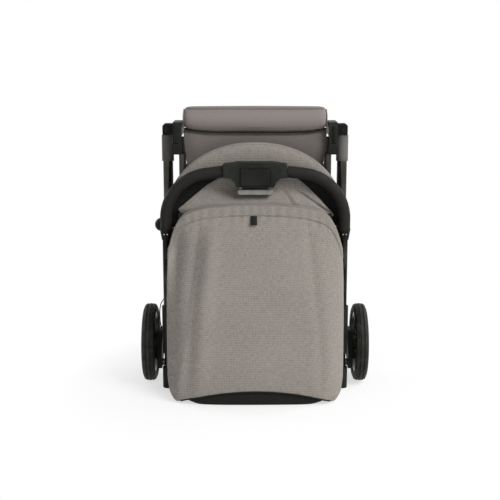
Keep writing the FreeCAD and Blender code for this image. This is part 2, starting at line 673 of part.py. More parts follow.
def backrest():
    board = slab("BackrestBoard", "YZ_Plane",
                 [(-64, 352), (-60, 352), (-60, 131), (-46, 122), (-46, 114), (-52, 110), (-60, 112),
                  (-64, 120)], "2 * board_half", 1, along(Vector(1, 0, 0)))
    bore = cross_rod("ReclineBore", "pin_bore", "2 * board_half + 4", "recline_y", "recline_z")
    node(cut("backrest_board", board, bore), "backrest_board")
    side_view = slab("PocketSide", "YZ_Plane",
                     [(-64, 120.2), (-142, 136.8), (-136, 190), (-122, 260), (-104, 325), (-92, 354),
                      (-82, 364), (-64, 364)], "2 * pocket_half", 8, not_along(Vector(1, 0, 0)))
    pocket = doc.addObject("Part::Common", "PocketShape")
    pocket.Base = side_view
    pocket.Tool = place(crowned("PocketFront", 168, 110, 364, 303, "200"), "0", "-100")
    node(pocket, "back_pocket")
    base = slab("PocketBase", "YZ_Plane",
                [(-66, 24), (-138, 24), (-147, 34), (-150, 60), (-148.5, 95.4), (-66, 115)],
                "2 * pocket_half - 2", 8, not_along(Vector(1, 0, 0)))
    node(base, "pocket_base")
    bottom = slab("BagBottom", "XZ_Plane",
                  [(-128, 0), (128, 0), (150, 12), (160, 24), (-160, 24), (-150, 12)], 72)
    node(place(bottom, "0", "-102"), "bag_bottom")


# ------------------------------------------------------------------ build, check and write
rear_frame()
brake()
rear_wheels()
front_wheels()
front_frame()
seat()
legrest()
upper_frame()
storage_latch()
handle()
canopy()
backrest()
doc.recompute()

for thing in doc.Objects:
    if {"Invalid", "Error"} & set(thing.State):
        raise RuntimeError(f"{thing.Label} failed: {thing.State}")
os.makedirs("parts", exist_ok=True)
for name, thing in nodes.items():
    shape = thing.Shape
    if shape.isNull() or not shape.isValid() or not shape.Solids:
        raise RuntimeError(f"{name} has no valid solid")
    shape.exportStep(os.path.join("parts", f"{name}.step"))
print(len(nodes), "nodes written")
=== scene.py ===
"""Looks of a compact pushchair, folded and standing on its wheels.

The packed frame gives every length of metal and moulding.  This file gives those pieces their
finishes, and sews the soft goods on: the rear bag, the flap, the hood, the seat and its calf
bolster.  Lengths inside the makers are millimetres, counted from the middle plane, from the rear
axle line (towards the pusher is negative) and from the floor.
"""
import math

import bmesh
import bpy
import numpy as np
from bpy.props import FloatProperty, FloatVectorProperty, IntProperty, PointerProperty
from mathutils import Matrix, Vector


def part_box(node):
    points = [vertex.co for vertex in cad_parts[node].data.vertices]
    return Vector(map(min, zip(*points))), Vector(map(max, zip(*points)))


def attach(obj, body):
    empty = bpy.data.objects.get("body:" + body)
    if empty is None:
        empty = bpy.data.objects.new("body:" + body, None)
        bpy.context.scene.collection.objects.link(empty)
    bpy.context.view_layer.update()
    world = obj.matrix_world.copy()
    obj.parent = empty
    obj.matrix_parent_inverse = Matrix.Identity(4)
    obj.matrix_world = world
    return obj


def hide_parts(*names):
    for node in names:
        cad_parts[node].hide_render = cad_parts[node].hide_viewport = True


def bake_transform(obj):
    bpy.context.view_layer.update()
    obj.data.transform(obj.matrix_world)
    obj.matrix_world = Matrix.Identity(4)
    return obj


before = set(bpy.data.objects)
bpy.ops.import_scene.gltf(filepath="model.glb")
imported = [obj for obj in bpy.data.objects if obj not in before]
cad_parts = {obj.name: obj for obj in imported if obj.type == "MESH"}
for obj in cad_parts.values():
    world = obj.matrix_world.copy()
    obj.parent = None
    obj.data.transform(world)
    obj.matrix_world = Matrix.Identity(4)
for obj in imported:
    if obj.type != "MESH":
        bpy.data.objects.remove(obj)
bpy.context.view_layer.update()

bl_info = {
    "name": "Folded pushchair",
    "version": (1, 0, 0),
    "blender": (4, 5, 0),
    "location": "View3D > Sidebar > Pushchair",
    "description": "Sews and finishes a folded compact pushchair on its packed frame",
    "category": "Add Mesh",
}

MM = 0.001
TINY = 1e-9  # keeps a division by a length from failing
STITCH_PITCH = 1.45  # from one stitch's start to the next one's, in stitches
STUFFING_STEPS = 20
OUTER, BAND, LINING, NET = 0.8, 0.7, 0.6, 0.5  # thicknesses of cloth
AXLE = (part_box("rear_cap_left")[0].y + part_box("rear_cap_left")[1].y) / 2 / MM


# ---------------------------------------------------------------- sizes and colours a user may change
def length(label, note, default, low=0.0, high=1.0):
    """A length in millimetres, shown with a slider."""
    return FloatProperty(name=label, description=note, default=default, min=low, max=high)


def dye(label, note, default):
    """A colour, as linear light."""
    return FloatVectorProperty(name=label, description=note, default=default, subtype="COLOR", size=3,
                               min=0.0, max=1.0)


class PushchairSizes(bpy.types.PropertyGroup):
    """Sewing allowances and cloth depths, in millimetres."""
    weave: length("Weave pitch", "Distance between two threads of the outer cloth", 1.5, 0.5, 5)
    seat_weave: length("Seat weave pitch", "Distance between two threads of the seat cloth", 0.9, 0.4, 5)
    piping: length("Piping radius", "Radius of the corded edges", 1.4, 0.5, 4)
    stitch: length("Stitch length", "Length of one stitch of a top seam", 3.2, 1.5, 8)
    binding: length("Bag binding", "Width of the folded band along the bag's arched top", 17.5, 8, 40)
    dent: length("Bag dent", "Depth of the slack hollow down the bag's left side", 6.0, 0, 15)
    gather: length("Bag gather", "Height of the small pleats under the bag's binding", 0.9, 0, 4)
    pleat: length("Hood pleat", "Depth of one fold between the hood's bows", 5.0, 0, 12)
    puff: length("Cushion puff", "Furthest that stuffing moves a cushion's cover", 9.0, 2, 20)


class PushchairColours(bpy.types.PropertyGroup):
    """Dyes, paints and mouldings."""
    cloth: dye("Outer cloth", "Bag, hood and flap", (0.262, 0.240, 0.215))
    seat: dye("Seat cloth", "Cushion and calf bolster", (0.225, 0.200, 0.184))
    lining: dye("Lining", "Bag bottom, hood window and webbing", (0.013, 0.0135, 0.012))
    paint: dye("Frame paint", "Legs, rails and handle tubes", (0.040, 0.037, 0.033))
    moulding: dye("Mouldings", "Joints, hubs and housing", (0.009, 0.0095, 0.008))
    sleeve: dye("Lock sleeves", "Collars at the top of the rear legs", (0.085, 0.082, 0.075))
    lever: dye("Squeeze lever", "Lever under the handle housing", (0.205, 0.20, 0.18))
    foam: dye("Grip foam", "Sleeves on the handle", (0.013, 0.0125, 0.0108))
    rubber: dye("Rubber", "Tyre treads", (0.012, 0.012, 0.010))
    wheel: dye("Wheel moulding", "Rims and spokes", (0.022, 0.022, 0.020))
    steel: dye("Steel", "Pins, rivets and screws", (0.50, 0.49, 0.47))


def sizes():
    """The sizes a user may change."""
    return bpy.context.scene.pushchair_sizes


def colours():
    """The dyes a user may change."""
    return bpy.context.scene.pushchair_colours


# ---------------------------------------------------------------- meshes
def spot(x, depth, z):
    """A place given in millimetres, as metres in the row frame."""
    return x * MM, (AXLE + depth) * MM, z * MM


def place_mesh(name, mesh, material, smooth=True):
    """A finished mesh as an object in the scene."""
    mesh.materials.append(material)
    mesh.polygons.foreach_set("use_smooth", [smooth] * len(mesh.polygons))
    mesh.update()
    piece = bpy.data.objects.new(name, mesh)
    bpy.context.scene.collection.objects.link(piece)
    return piece


def make(name, places, faces, material, smooth=True):
    """A mesh object from places in millimetres."""
    mesh = bpy.data.meshes.new(name)
    coords = np.asarray(places, float).reshape(-1, 3) * MM
    coords[:, 1] += AXLE * MM
    mesh.from_pydata(coords.tolist(), [], faces)
    return place_mesh(name, mesh, material, smooth)


def weave_faces(rows, columns, around=False, first=0):
    """Quads between a grid's places, joined round its columns if asked."""
    faces = []
    for j in range(rows - 1):
        for i in range(columns if around else columns - 1):
            k = (i + 1) % columns
            low, high = first + j * columns, first + (j + 1) * columns
            faces.append((low + i, low + k, high + k, high + i))
    return faces


def cloth_sheet(name, grid, material, thickness=0.0):
    """A sheet from a grid of places, rows by columns by 3, with the cloth's own thickness."""
    rows, columns = grid.shape[:2]
    piece = make(name, grid, weave_faces(rows, columns), material)
    if thickness:
        give_thickness(piece, thickness)
    return piece


def give_thickness(piece, thickness):
    """Thickens a sheet to both sides, in millimetres."""
    solid = piece.modifiers.new("Thickness", "SOLIDIFY")
    solid.thickness = thickness * MM
    solid.offset = 0
    settle(piece)


def settle(piece):
    """Applies every modifier, so that the mesh is the piece's final shape."""
    bpy.context.view_layer.update()
    shaped = bpy.data.meshes.new_from_object(piece.evaluated_get(bpy.context.evaluated_depsgraph_get()))
    old = piece.data
    piece.modifiers.clear()
    piece.data = shaped
    shaped.name = piece.name
    bpy.data.meshes.remove(old)
    shaped.polygons.foreach_set("use_smooth", [True] * len(shaped.polygons))
    shaped.update()


def refine(piece, levels=1):
    """One or more rounds of subdivision, applied."""
    step = piece.modifiers.new("Refine", "SUBSURF")
    step.levels = step.render_levels = levels
    settle(piece)


def smooth_line(points, count, closed=False):
    """Evenly spaced places along a smooth curve through the points."""
    p = np.asarray(points, float)
    if closed:
        p = np.vstack([p[-1], p, p[0], p[1]])
    else:
        p = np.vstack([2 * p[0] - p[1], p, 2 * p[-1] - p[-2]])
    t = np.linspace(0, 1, 24, endpoint=False)[:, None]
    spans = []
    for a, b, c, d in zip(p[:-3], p[1:-2], p[2:-1], p[3:]):
        spans.append(0.5 * (2 * b + (c - a) * t + (2 * a - 5 * b + 4 * c - d) * t ** 2
                            + (3 * b - a - 3 * c + d) * t ** 3))
    line = np.vstack(spans + [p[-2][None]])
    return even(line, count)


def even(line, count):
    """The same line with its places spread evenly along it."""
    steps = np.concatenate([[0], np.cumsum(np.linalg.norm(np.diff(line, axis=0), axis=1))])
    wanted = np.linspace(0, steps[-1], count)
    return np.stack([np.interp(wanted, steps, line[:, k]) for k in range(line.shape[1])], 1)


def cord_rings(line, radius, sides=8, closed=False, flat=1.0):
    """Rings of places along a line; flat below 1 makes a webbing instead of a cord."""
    line = np.asarray(line, float)
    ahead = np.roll(line, -1, 0) if closed else np.vstack([line[1:], 2 * line[-1] - line[-2]])
    behind = np.roll(line, 1, 0) if closed else np.vstack([2 * line[0] - line[1], line[:-1]])
    run = ahead - behind
    run /= np.linalg.norm(run, axis=1)[:, None] + TINY
    lean = np.array([0.0, -1.0, 0.0])
    if np.abs(run @ lean).max() > 0.9:
        lean = np.array([0.3, -0.2, 0.93])
    out = lean - (run @ lean)[:, None] * run
    out /= np.linalg.norm(out, axis=1)[:, None]
    side = np.cross(run, out)
    turn = np.linspace(0, 2 * math.pi, sides, endpoint=False)
    radius = np.broadcast_to(np.asarray(radius, float), (len(line),))[:, None, None]
    ring = (np.cos(turn)[None, :, None] * out[:, None] * flat
            + np.sin(turn)[None, :, None] * side[:, None])
    return line[:, None] + radius * ring


def cord_edge(name, line, radius, material, sides=8, closed=False, flat=1.0):
    """A corded edge or a strap laid along a line."""
    rings = cord_rings(line, radius, sides, closed, flat)
    rows = len(rings)
    places = rings.reshape(-1, 3)
    faces = weave_faces(rows, sides, around=True)
    if closed:
        last = (rows - 1) * sides
        faces += [(last + i, last + (i + 1) % sides, (i + 1) % sides, i) for i in range(sides)]
    else:
        faces.append(tuple(reversed(range(sides))))
        faces.append(tuple(range((rows - 1) * sides, rows * sides)))
    return make(name, places, faces, material)


def seam(name, line, material, lift=(0, -0.3, 0)):
    """A row of stitches, each a short cord that dips into the cloth at both ends."""
    step = sizes().stitch
    line = np.asarray(line, float)
    run = np.concatenate([[0], np.cumsum(np.linalg.norm(np.diff(line, axis=0), axis=1))])
    places, faces = [], []
    for k in range(int(run[-1] / (step * STITCH_PITCH))):
        start = k * step * STITCH_PITCH
        share = np.linspace(start, start + step, 4)
        path = np.stack([np.interp(share, run, line[:, c]) for c in range(3)], 1)
        path[1:3] += np.asarray(lift, float)
        rings = cord_rings(path, [0.18, 0.34, 0.34, 0.18], 5)
        faces += weave_faces(4, 5, around=True, first=len(places))
        places += rings.reshape(-1, 3).tolist()
    return make(name, places, faces, material)


# ---------------------------------------------------------------- finishes
class Nodes:
    """Short calls for the few kinds of node that the finishes and the world need."""

    def __init__(self, tree):
        self.tree = tree

    def add(self, kind):
        """A new shader node of that kind."""
        return self.tree.nodes.new(f"ShaderNode{kind}")

    def link(self, source, target):
        """Joins two sockets."""
        self.tree.links.new(source, target)

    def feed(self, socket, value):
        """Gives a socket a link or a plain value."""
        if isinstance(value, bpy.types.NodeSocket):
            self.link(value, socket)
        else:
            socket.default_value = value

    def work(self, operation, *values):
        """A Math node of that operation."""
        node = self.add("Math")
        node.operation = operation
        for socket, value in zip(node.inputs, values):
            self.feed(socket, value)
        return node.outputs[0]

    def plus(self, first, second):
        """The sum of two values."""
        return self.work("ADD", first, second)

    def times(self, first, second):
        """The product of two values."""
        return self.work("MULTIPLY", first, second)

    def fit(self, value, low, high, to_low=0.0, to_high=1.0):
        """A value moved from one range to another, and held inside it."""
        node = self.add("MapRange")
        for socket, number in zip(node.inputs, (value, low, high, to_low, to_high)):
            self.feed(socket, number)
        return node.outputs[0]

    def seen(self):
        """1 on rays from the camera or by way of a mirror or glass, 0 on the rays that light things."""
        path = self.add("LightPath").outputs
        return self.work("MAXIMUM", path["Is Camera Ray"],
                         self.work("MAXIMUM", path["Is Glossy Ray"], path["Is Transmission Ray"]))


class Finish(Nodes):
    """A material under construction."""

    def __init__(self, name, roughness, metallic=0.0, specular=0.5, sheen=0.0, coat=0.0):
        self.material = bpy.data.materials.get(name) or bpy.data.materials.new(name)
        self.material.use_nodes = True
        super().__init__(self.material.node_tree)
        self.tree.nodes.clear()
        self.shader = self.add("BsdfPrincipled")
        self.output = self.add("OutputMaterial")
        self.link(self.shader.outputs[0], self.output.inputs["Surface"])
        for socket, value in (("Roughness", roughness), ("Metallic", metallic), ("Sheen Weight", sheen),
                              ("Specular IOR Level", specular), ("Coat Weight", coat),
                              ("Coat Roughness", 0.15), ("Sheen Roughness", 0.45)):
            self.shader.inputs[socket].default_value = value
        place = self.add("TexCoord")
        split = self.add("SeparateXYZ")
        self.place = place.outputs["Object"]
        self.link(self.place, split.inputs[0])
        self.x, self.y, self.z = split.outputs

    def vector(self, x, y, z):
        """Three values as a place."""
        node = self.add("CombineXYZ")
        for socket, value in zip(node.inputs, (x, y, z)):
            self.feed(socket, value)
        return node.outputs[0]

    def noise(self, places, scale, detail=2.0, rough=0.5):
        """Cloudy noise at those places."""
        node = self.add("TexNoise")
        self.link(places, node.inputs["Vector"])
        node.inputs["Scale"].default_value = scale
        node.inputs["Detail"].default_value = detail
        node.inputs["Roughness"].default_value = rough
        return node.outputs[0]

    def cells(self, places, scale):
        """Distance to the nearest of many scattered spots."""
        node = self.add("TexVoronoi")
        self.link(places, node.inputs["Vector"])
        node.inputs["Scale"].default_value = scale
        return node.outputs["Distance"]

    def blend(self, factor, first, second):
        """A colour between two colours."""
        node = self.add("Mix")
        node.data_type = "RGBA"
        self.feed(node.inputs[0], factor)
        self.feed(node.inputs[6], first)
        self.feed(node.inputs[7], second)
        return node.outputs[2]

    def mottle(self, value, low, high, colour, dark, light):
        """The colour made darker to lighter as a value crosses a range."""
        return self.blend(self.fit(value, low, high), tone(colour, dark), tone(colour, light))

    def edges(self, low=0.52, high=0.62):
        """One where the surface is sharply outward, as on a worn edge."""
        shape = self.add("NewGeometry")
        return self.fit(shape.outputs["Pointiness"], low, high)

    def relief(self, height, distance, strength=1.0):
        """Bump of a depth in millimetres."""
        node = self.add("Bump")
        node.inputs["Strength"].default_value = strength
        node.inputs["Distance"].default_value = distance * MM
        self.link(height, node.inputs["Height"])
        self.link(node.outputs[0], self.shader.inputs["Normal"])

    def colour(self, socket):
        """Sends a colour to the shader."""
        self.link(socket, self.shader.inputs["Base Color"])

    def roughness(self, socket):
        """Sends a roughness to the shader."""
        self.link(socket, self.shader.inputs["Roughness"])


def tone(colour, scale):
    """A colour made lighter or darker."""
    return tuple(min(1.0, c * scale) for c in colour) + (1.0,)


def woven(name, colour, pitch, contrast=0.34, sheen=0.25, relief=0.22):
    """Plain-woven melange cloth: two sets of slubby yarns, over and under each other."""
    cloth = Finish(name, 0.88, specular=0.12, sheen=sheen * 0.25)
    across = cloth.plus(cloth.x, cloth.times(cloth.y, 0.7))
    along = cloth.plus(cloth.z, cloth.times(cloth.y, 0.7))
    turn = 2 * math.pi / (pitch * MM)
    warp = cloth.work("SINE", cloth.times(across, turn))
    weft = cloth.work("SINE", cloth.times(along, turn))
    over = cloth.fit(cloth.times(warp, weft), -1.0, 1.0)
    level = cloth.vector(cloth.times(across, 0.16), 0.0, along)
    plumb = cloth.vector(across, 0.0, cloth.times(along, 0.16))
    fine = 0.9 / (pitch * MM)
    slubs = cloth.noise(level, fine, 2.0, 0.65)
    rises = cloth.noise(plumb, fine * 0.9, 2.0, 0.65)
    yarn = cloth.plus(cloth.times(slubs, over),
                     cloth.times(rises, cloth.work("SUBTRACT", 1.0, over)))
    broad = cloth.noise(cloth.place, 9.0, 3.0, 0.55)
    sway = cloth.times(cloth.noise(cloth.place, 5.0, 1.0), 11.0)
    ribs = cloth.work("SINE", cloth.plus(cloth.times(along, turn * 0.31), sway))
    rungs = cloth.work("SINE", cloth.plus(cloth.times(across, turn * 0.29), sway))
    grid = cloth.plus(cloth.times(ribs, 0.042), cloth.times(rungs, 0.012))
    mixed = cloth.plus(cloth.times(yarn, 0.84), cloth.times(broad, 0.16))
    mixed = cloth.plus(mixed, grid)
    cloth.colour(cloth.mottle(mixed, 0.30, 0.70, colour, 1 - contrast, 1 + contrast))
    height = cloth.plus(over, cloth.times(yarn, 0.8))
    cloth.relief(height, relief)
    return cloth.material


def mesh_net(name, colour):
    """Open knitted net, dark, with a regular grid of small holes."""
    net = Finish(name, 0.8, specular=0.1, sheen=0.02)
    turn = 2 * math.pi / (2.4 * MM)
    holes = net.times(net.work("SINE", net.times(net.x, turn)),
                    net.work("SINE", net.times(net.z, turn)))
    grain = net.noise(net.place, 420.0, 2.0)
    net.colour(net.mottle(net.plus(holes, grain), 0.0, 1.6, colour, 0.5, 1.7))
    net.relief(holes, 0.25)
    return net.material


def webbing(name, colour):
    """Tightly woven tape, with ribs along it."""
    tape = Finish(name, 0.72, specular=0.12, sheen=0.03)
    ribs = tape.work("SINE", tape.times(tape.plus(tape.x, tape.y), 2 * math.pi / 0.0011))
    cross = tape.work("SINE", tape.times(tape.z, 2 * math.pi / 0.0016))
    height = tape.plus(ribs, tape.times(cross, 0.6))
    tape.colour(tape.mottle(height, -1.6, 1.6, colour, 0.6, 1.5))
    tape.relief(height, 0.12)
    return tape.material


def painted_tube(name, colour):
    """Satin metallic paint over aluminium tube: drawn along its length, bare at rubbed edges."""
    paint = Finish(name, 0.24, metallic=0.85, specular=0.2, coat=0.04)
    drawn = paint.noise(paint.vector(paint.x, paint.y, paint.times(paint.z, 0.02)), 900.0, 2.0)
    flake = paint.noise(paint.place, 2600.0, 1.0)
    patch = paint.noise(paint.place, 14.0, 3.0)
    base = paint.mottle(flake, 0.35, 0.68, colour, 0.8, 1.35)
    worn = paint.times(paint.edges(0.60, 0.75), paint.fit(patch, 0.45, 0.65, 0.0, 0.6))
    paint.colour(paint.blend(worn, base, (0.30, 0.29, 0.28, 1.0)))
    paint.roughness(paint.fit(drawn, 0.3, 0.7, 0.22, 0.27))
    paint.relief(drawn, 0.02)
    return paint.material


def moulded(name, colour, roughness=0.46, grain=0.05, coat=0.0, edge=2.2):
    """Injection-moulded nylon with a fine spark grain and edges polished by handling."""
    nylon = Finish(name, roughness, specular=0.09, coat=coat)
    spark = nylon.noise(nylon.place, 1500.0, 2.0, 0.7)
    cloud = nylon.noise(nylon.place, 26.0, 3.0)
    base = nylon.mottle(cloud, 0.35, 0.65, colour, 0.93, 1.08)
    # Sharp edges lightened by the edge factor, patchy by the cloud noise: a painted highlight along the
    # edges.
    edge_highlight = nylon.times(nylon.edges(), nylon.fit(cloud, 0.38, 0.6, 0.25, 0.9))
    nylon.colour(nylon.blend(edge_highlight, base, tone(colour, edge)))
    nylon.roughness(nylon.fit(nylon.plus(spark, cloud), 0.7, 1.3, roughness - 0.08, roughness + 0.1))
    nylon.relief(spark, grain)
    return nylon.material


def foamed(name, colour):
    """Closed-cell foam sleeve: fine pores under a dull skin."""
    foam = Finish(name, 0.70, specular=0.14, sheen=0.02)
    pores = foam.cells(foam.place, 900.0)
    skin = foam.noise(foam.place, 60.0, 4.0, 0.6)
    foam.colour(foam.mottle(foam.plus(pores, skin), 0.5, 1.4, colour, 0.8, 1.3))
    foam.roughness(foam.fit(skin, 0.35, 0.65, 0.58, 0.80))
    foam.relief(foam.plus(pores, foam.times(skin, 0.5)), 0.10)
    return foam.material


def tread(name, colour, axle_depth, axle_height, radius, ribs):
    """Tyre rubber: sipes across the tread, a dusty crown and smooth walls."""
    rubber = Finish(name, 0.62, specular=0.20)
    y = rubber.work("SUBTRACT", rubber.y, (AXLE + axle_depth) * MM)
    z = rubber.work("SUBTRACT", rubber.z, axle_height * MM)
    reach = rubber.work("SQRT", rubber.plus(rubber.times(y, y), rubber.times(z, z)))
    crown = rubber.fit(reach, (radius - 4.5) * MM, (radius - 2.0) * MM)
    around = rubber.times(rubber.work("ARCTAN2", z, y), float(ribs))
    sipes = rubber.fit(rubber.work("SINE", around), 0.72, 0.9)
    cut = rubber.times(sipes, crown)
    dust = rubber.noise(rubber.place, 70.0, 4.0, 0.6)
    base = rubber.mottle(dust, 0.35, 0.65, colour, 0.8, 1.35)
    dusty = rubber.times(crown, rubber.fit(dust, 0.4, 0.7, 0.0, 0.6))
    rubber.colour(rubber.blend(dusty, base, tone(colour, 2.6)))
    grain = rubber.noise(rubber.place, 1300.0, 2.0)
    rubber.relief(rubber.work("SUBTRACT", rubber.times(grain, 0.2), cut), 0.45)
    return rubber.material


def turned_steel(name, colour):
    """Zinc-plated steel, turned: fine rings and a few dull spots."""
    steel = Finish(name, 0.28, metallic=1.0)
    spots = steel.noise(steel.place, 160.0, 3.0)
    rings = steel.noise(steel.vector(steel.x, steel.y, steel.z), 2200.0, 1.0)
    steel.colour(steel.mottle(spots, 0.35, 0.7, colour, 1.05, 0.7))
    steel.roughness(steel.fit(rings, 0.3, 0.7, 0.2, 0.4))
    steel.relief(rings, 0.01)
    return steel.material


def screw_heads(name, bright, dark):
    """Bright rivets out on the collars, blackened screws on the housing."""
    head = Finish(name, 0.34, metallic=1.0)
    far = head.work("GREATER_THAN", head.work("ABSOLUTE", head.x), 0.1)
    scuffs = head.noise(head.place, 700.0, 3.0)
    shade = head.mottle(scuffs, 0.35, 0.7, bright, 1.1, 0.75)
    head.colour(head.blend(far, tone(dark, 2.5), shade))
    head.roughness(head.fit(scuffs, 0.3, 0.7, 0.25, 0.42))
    head.relief(scuffs, 0.02)
    return head.material


def finishes():
    """Every finish of the pushchair, by name, made once."""
    if "outer_cloth" in bpy.data.materials:
        return {m.name: m for m in bpy.data.materials}
    dyes, weave = colours(), sizes()
    woven("outer_cloth", dyes.cloth, weave.weave)
    woven("binding_cloth", tone(dyes.cloth, 0.93)[:3], weave.weave * 0.8)
    woven("seat_cloth", dyes.seat, weave.seat_weave, contrast=0.12, sheen=0.15, relief=0.10)
    woven("lining_cloth", dyes.lining, weave.seat_weave, contrast=0.3, sheen=0.1, relief=0.14)
    woven("cloth_piping", tone(dyes.cloth, 0.72)[:3], weave.seat_weave, contrast=0.2)
    # The seat cloth darkened to 0.60 for the skirt: painted shade, as the skirt faces down under the calf
    # bolster.
    woven("seat_panel", tone(dyes.seat, 0.60)[:3], weave.seat_weave, contrast=0.12, sheen=0.1, relief=0.08)
    woven("seat_piping", tone(dyes.seat, 0.85)[:3], weave.seat_weave, contrast=0.2)
    mesh_net("window_net", dyes.lining)
    webbing("black_webbing", dyes.lining)
    webbing("thread", tone(dyes.cloth, 0.62)[:3])
    webbing("seat_thread", tone(dyes.seat, 0.7)[:3])
    painted_tube("frame_paint", dyes.paint)
    painted_tube("handle_paint", tone(dyes.paint, 0.22)[:3])
    # In moulded(), edge sets how much lighter the painted highlight on sharp edges is; the rims take the
    # strongest.
    moulded("black_moulding", dyes.moulding)
    moulded("housing_moulding", tone(dyes.moulding, 1.15)[:3], 0.50, 0.06)
    moulded("button_moulding", tone(dyes.moulding, 0.8)[:3], 0.58, 0.03)
    moulded("sleeve_moulding", dyes.sleeve, 0.40, 0.04, edge=1.5)
    moulded("lever_moulding", dyes.lever, 0.42, 0.04, edge=1.4)
    moulded("wheel_moulding", dyes.wheel, 0.16, 0.10, coat=0.6, edge=5.0)
    moulded("board_moulding", tone(dyes.moulding, 1.3)[:3], 0.6, 0.1)
    foamed("grip_foam", dyes.foam)
    turned_steel("turned_steel", dyes.steel)
    screw_heads("screw_heads", dyes.steel, dyes.moulding)
    tread("rear_tread", dyes.rubber, 0.0, 78.0, 78.0, 84)
    tread("front_tread", dyes.rubber, 59.0, 50.0, 50.0, 60)
    return {m.name: m for m in bpy.data.materials}


# ---------------------------------------------------------------- the rear bag
# Half a ring of the bag as shares of its half width and depth, then its front's depth, its half width
# and its top edge's height as tables: by height, by height and by distance from the middle.
BAG_SIDE = [(0.945, 0.0), (0.97, 0.08), (1.0, 0.30), (0.997, 0.54), (0.972, 0.73), (0.92, 0.87),
            (0.83, 0.955), (0.70, 0.988), (0.42, 1.0), (0.0, 1.0)]
BAG_FRONT = [(0, -159), (14, -161), (45, -159), (90, -153.5), (150, -145), (190, -136), (225, -129),
             (260, -121), (295, -112), (325, -103), (348, -94), (372, -85)]
BAG_HALF = [(0, 157), (6, 161), (16, 166), (40, 169), (90, 169.5), (170, 169.3), (225, 168.6), (262, 167.2),
            (290, 165), (372, 161)]
BAG_TOP = [(0, 370), (45, 369), (90, 365.5), (118, 359), (139, 349.5), (152, 332), (161, 306), (164.5, 290),
           (167, 278), (170, 268)]
BAG_BACK, BAG_HEIGHT, BAG_RISE = -64.6, 372, 340
HEM_HALF, HEM_FOOT, HEM_LIFT = 150.0, 2.5, 24.0


def table(rows, value):
    """A value read off a table of pairs, with straight lines between its rows."""
    xs, ys = zip(*rows)
    return np.interp(value, xs, ys)


def bag_top(x):
    """Height of the bag's arched top edge at a distance from the middle."""
    far = np.abs(x)
    return sum(table(BAG_TOP, np.clip(far + step, 0, 170)) for step in (-6, -3, 0, 3, 6)) / 5


def bag_hem(x):
    """Height of the bag's lower edge, which lifts in an arc over the black bottom."""
    share = np.clip(np.abs(x) / HEM_HALF, 0, 1)
    return HEM_FOOT + HEM_LIFT * (1 - share ** 2) ** 0.85


def slack(x, z):
    """How far the bag's front hangs in (positive) or out where the cloth is slack."""
    size = sizes()
    low = np.clip((z - 5) / 60, 0, 1)
    high = np.clip((352 - z) / 60, 0, 1)
    left = table([(0, -125), (60, -124), (130, -120), (200, -115), (300, -103), (372, -95)], z)
    bend = table([(0, -158), (30, -150), (80, -137), (130, -127), (200, -119), (300, -105), (372, -97)], z)
    deeper = 0.35 + 0.65 * np.clip((z - 60) / 150, 0, 1)
    hollow = 1.4 * size.dent * np.exp(-((x - left + 5) / 13) ** 2) * high * deeper
    shoulder = 0.55 * np.clip(bend - x, 0, None) * high
    crest = -3.4 * np.exp(-((x - left - 20) / 15) ** 2) * high * low
    right = table([(0, 128), (140, 122), (300, 104), (372, 96)], z)
    crease = 3.0 * np.exp(-((x - right) / 10) ** 2) * high * low
    away = 0.16 * np.clip(x - right - 4, 0, None) * high
    slump = 1.6 * np.sin(z / 47 + x / 90) * np.sin(x / 61 + 0.7) * high
    swag = 1.3 * np.sin((z + 0.16 * x) / 17.0) * np.exp(-((z - 60) / 45) ** 2) * np.exp(-(x / 130) ** 4)
    below = np.clip(bag_top(x) - 17.5 - z, 0, None)
    gather = 0.5 * size.gather * np.sin(x / 2.9 + 0.8 * np.sin(x / 21)) * np.exp(-below / 17)
    return hollow + shoulder + crest + crease + away + slump + swag + gather


def bag_ring(half, front, count, back=BAG_BACK):
    """Places round the bag's outline, from its left rear edge over the front to its right one."""
    right = [(w * half, back + f * (front - back)) for w, f in BAG_SIDE]
    loop = [(-x, y) for x, y in right] + [(x, y) for x, y in reversed(right[:-1])]
    return smooth_line(loop, count)


def bag_wall(low, high, rows, columns=181):
    """Places on the bag's cloth between two shares of its height, as a grid."""
    levels = np.linspace(0, BAG_HEIGHT, 63)
    rings = np.array([bag_ring(table(BAG_HALF, z), table(BAG_FRONT, z), columns) for z in levels])
    share = np.linspace(low, high, rows)[:, None]
    z = 5 + 350 * np.broadcast_to(share, (rows, columns)).copy()
    x, y = np.zeros_like(z), np.zeros_like(z)
    for _ in range(6):
        for i in range(columns):
            x[:, i] = np.interp(z[:, i], levels, rings[:, i, 0])
            y[:, i] = np.interp(z[:, i], levels, rings[:, i, 1])
        z = bag_hem(x) + (bag_top(x) - bag_hem(x)) * share
    reach = (y - BAG_BACK) / (table(BAG_FRONT, z) - BAG_BACK)
    facing = np.clip((reach - 0.45) / 0.45, 0, 1) ** 1.5
    return np.stack([x, y + facing * slack(x, z), z], 2)


def outward(grid):
    """Unit normals of a grid of places."""
    over, up = np.gradient(grid, axis=1), np.gradient(grid, axis=0)
    normal = np.cross(over, up)
    return normal / (np.linalg.norm(normal, axis=2)[:, :, None] + TINY)


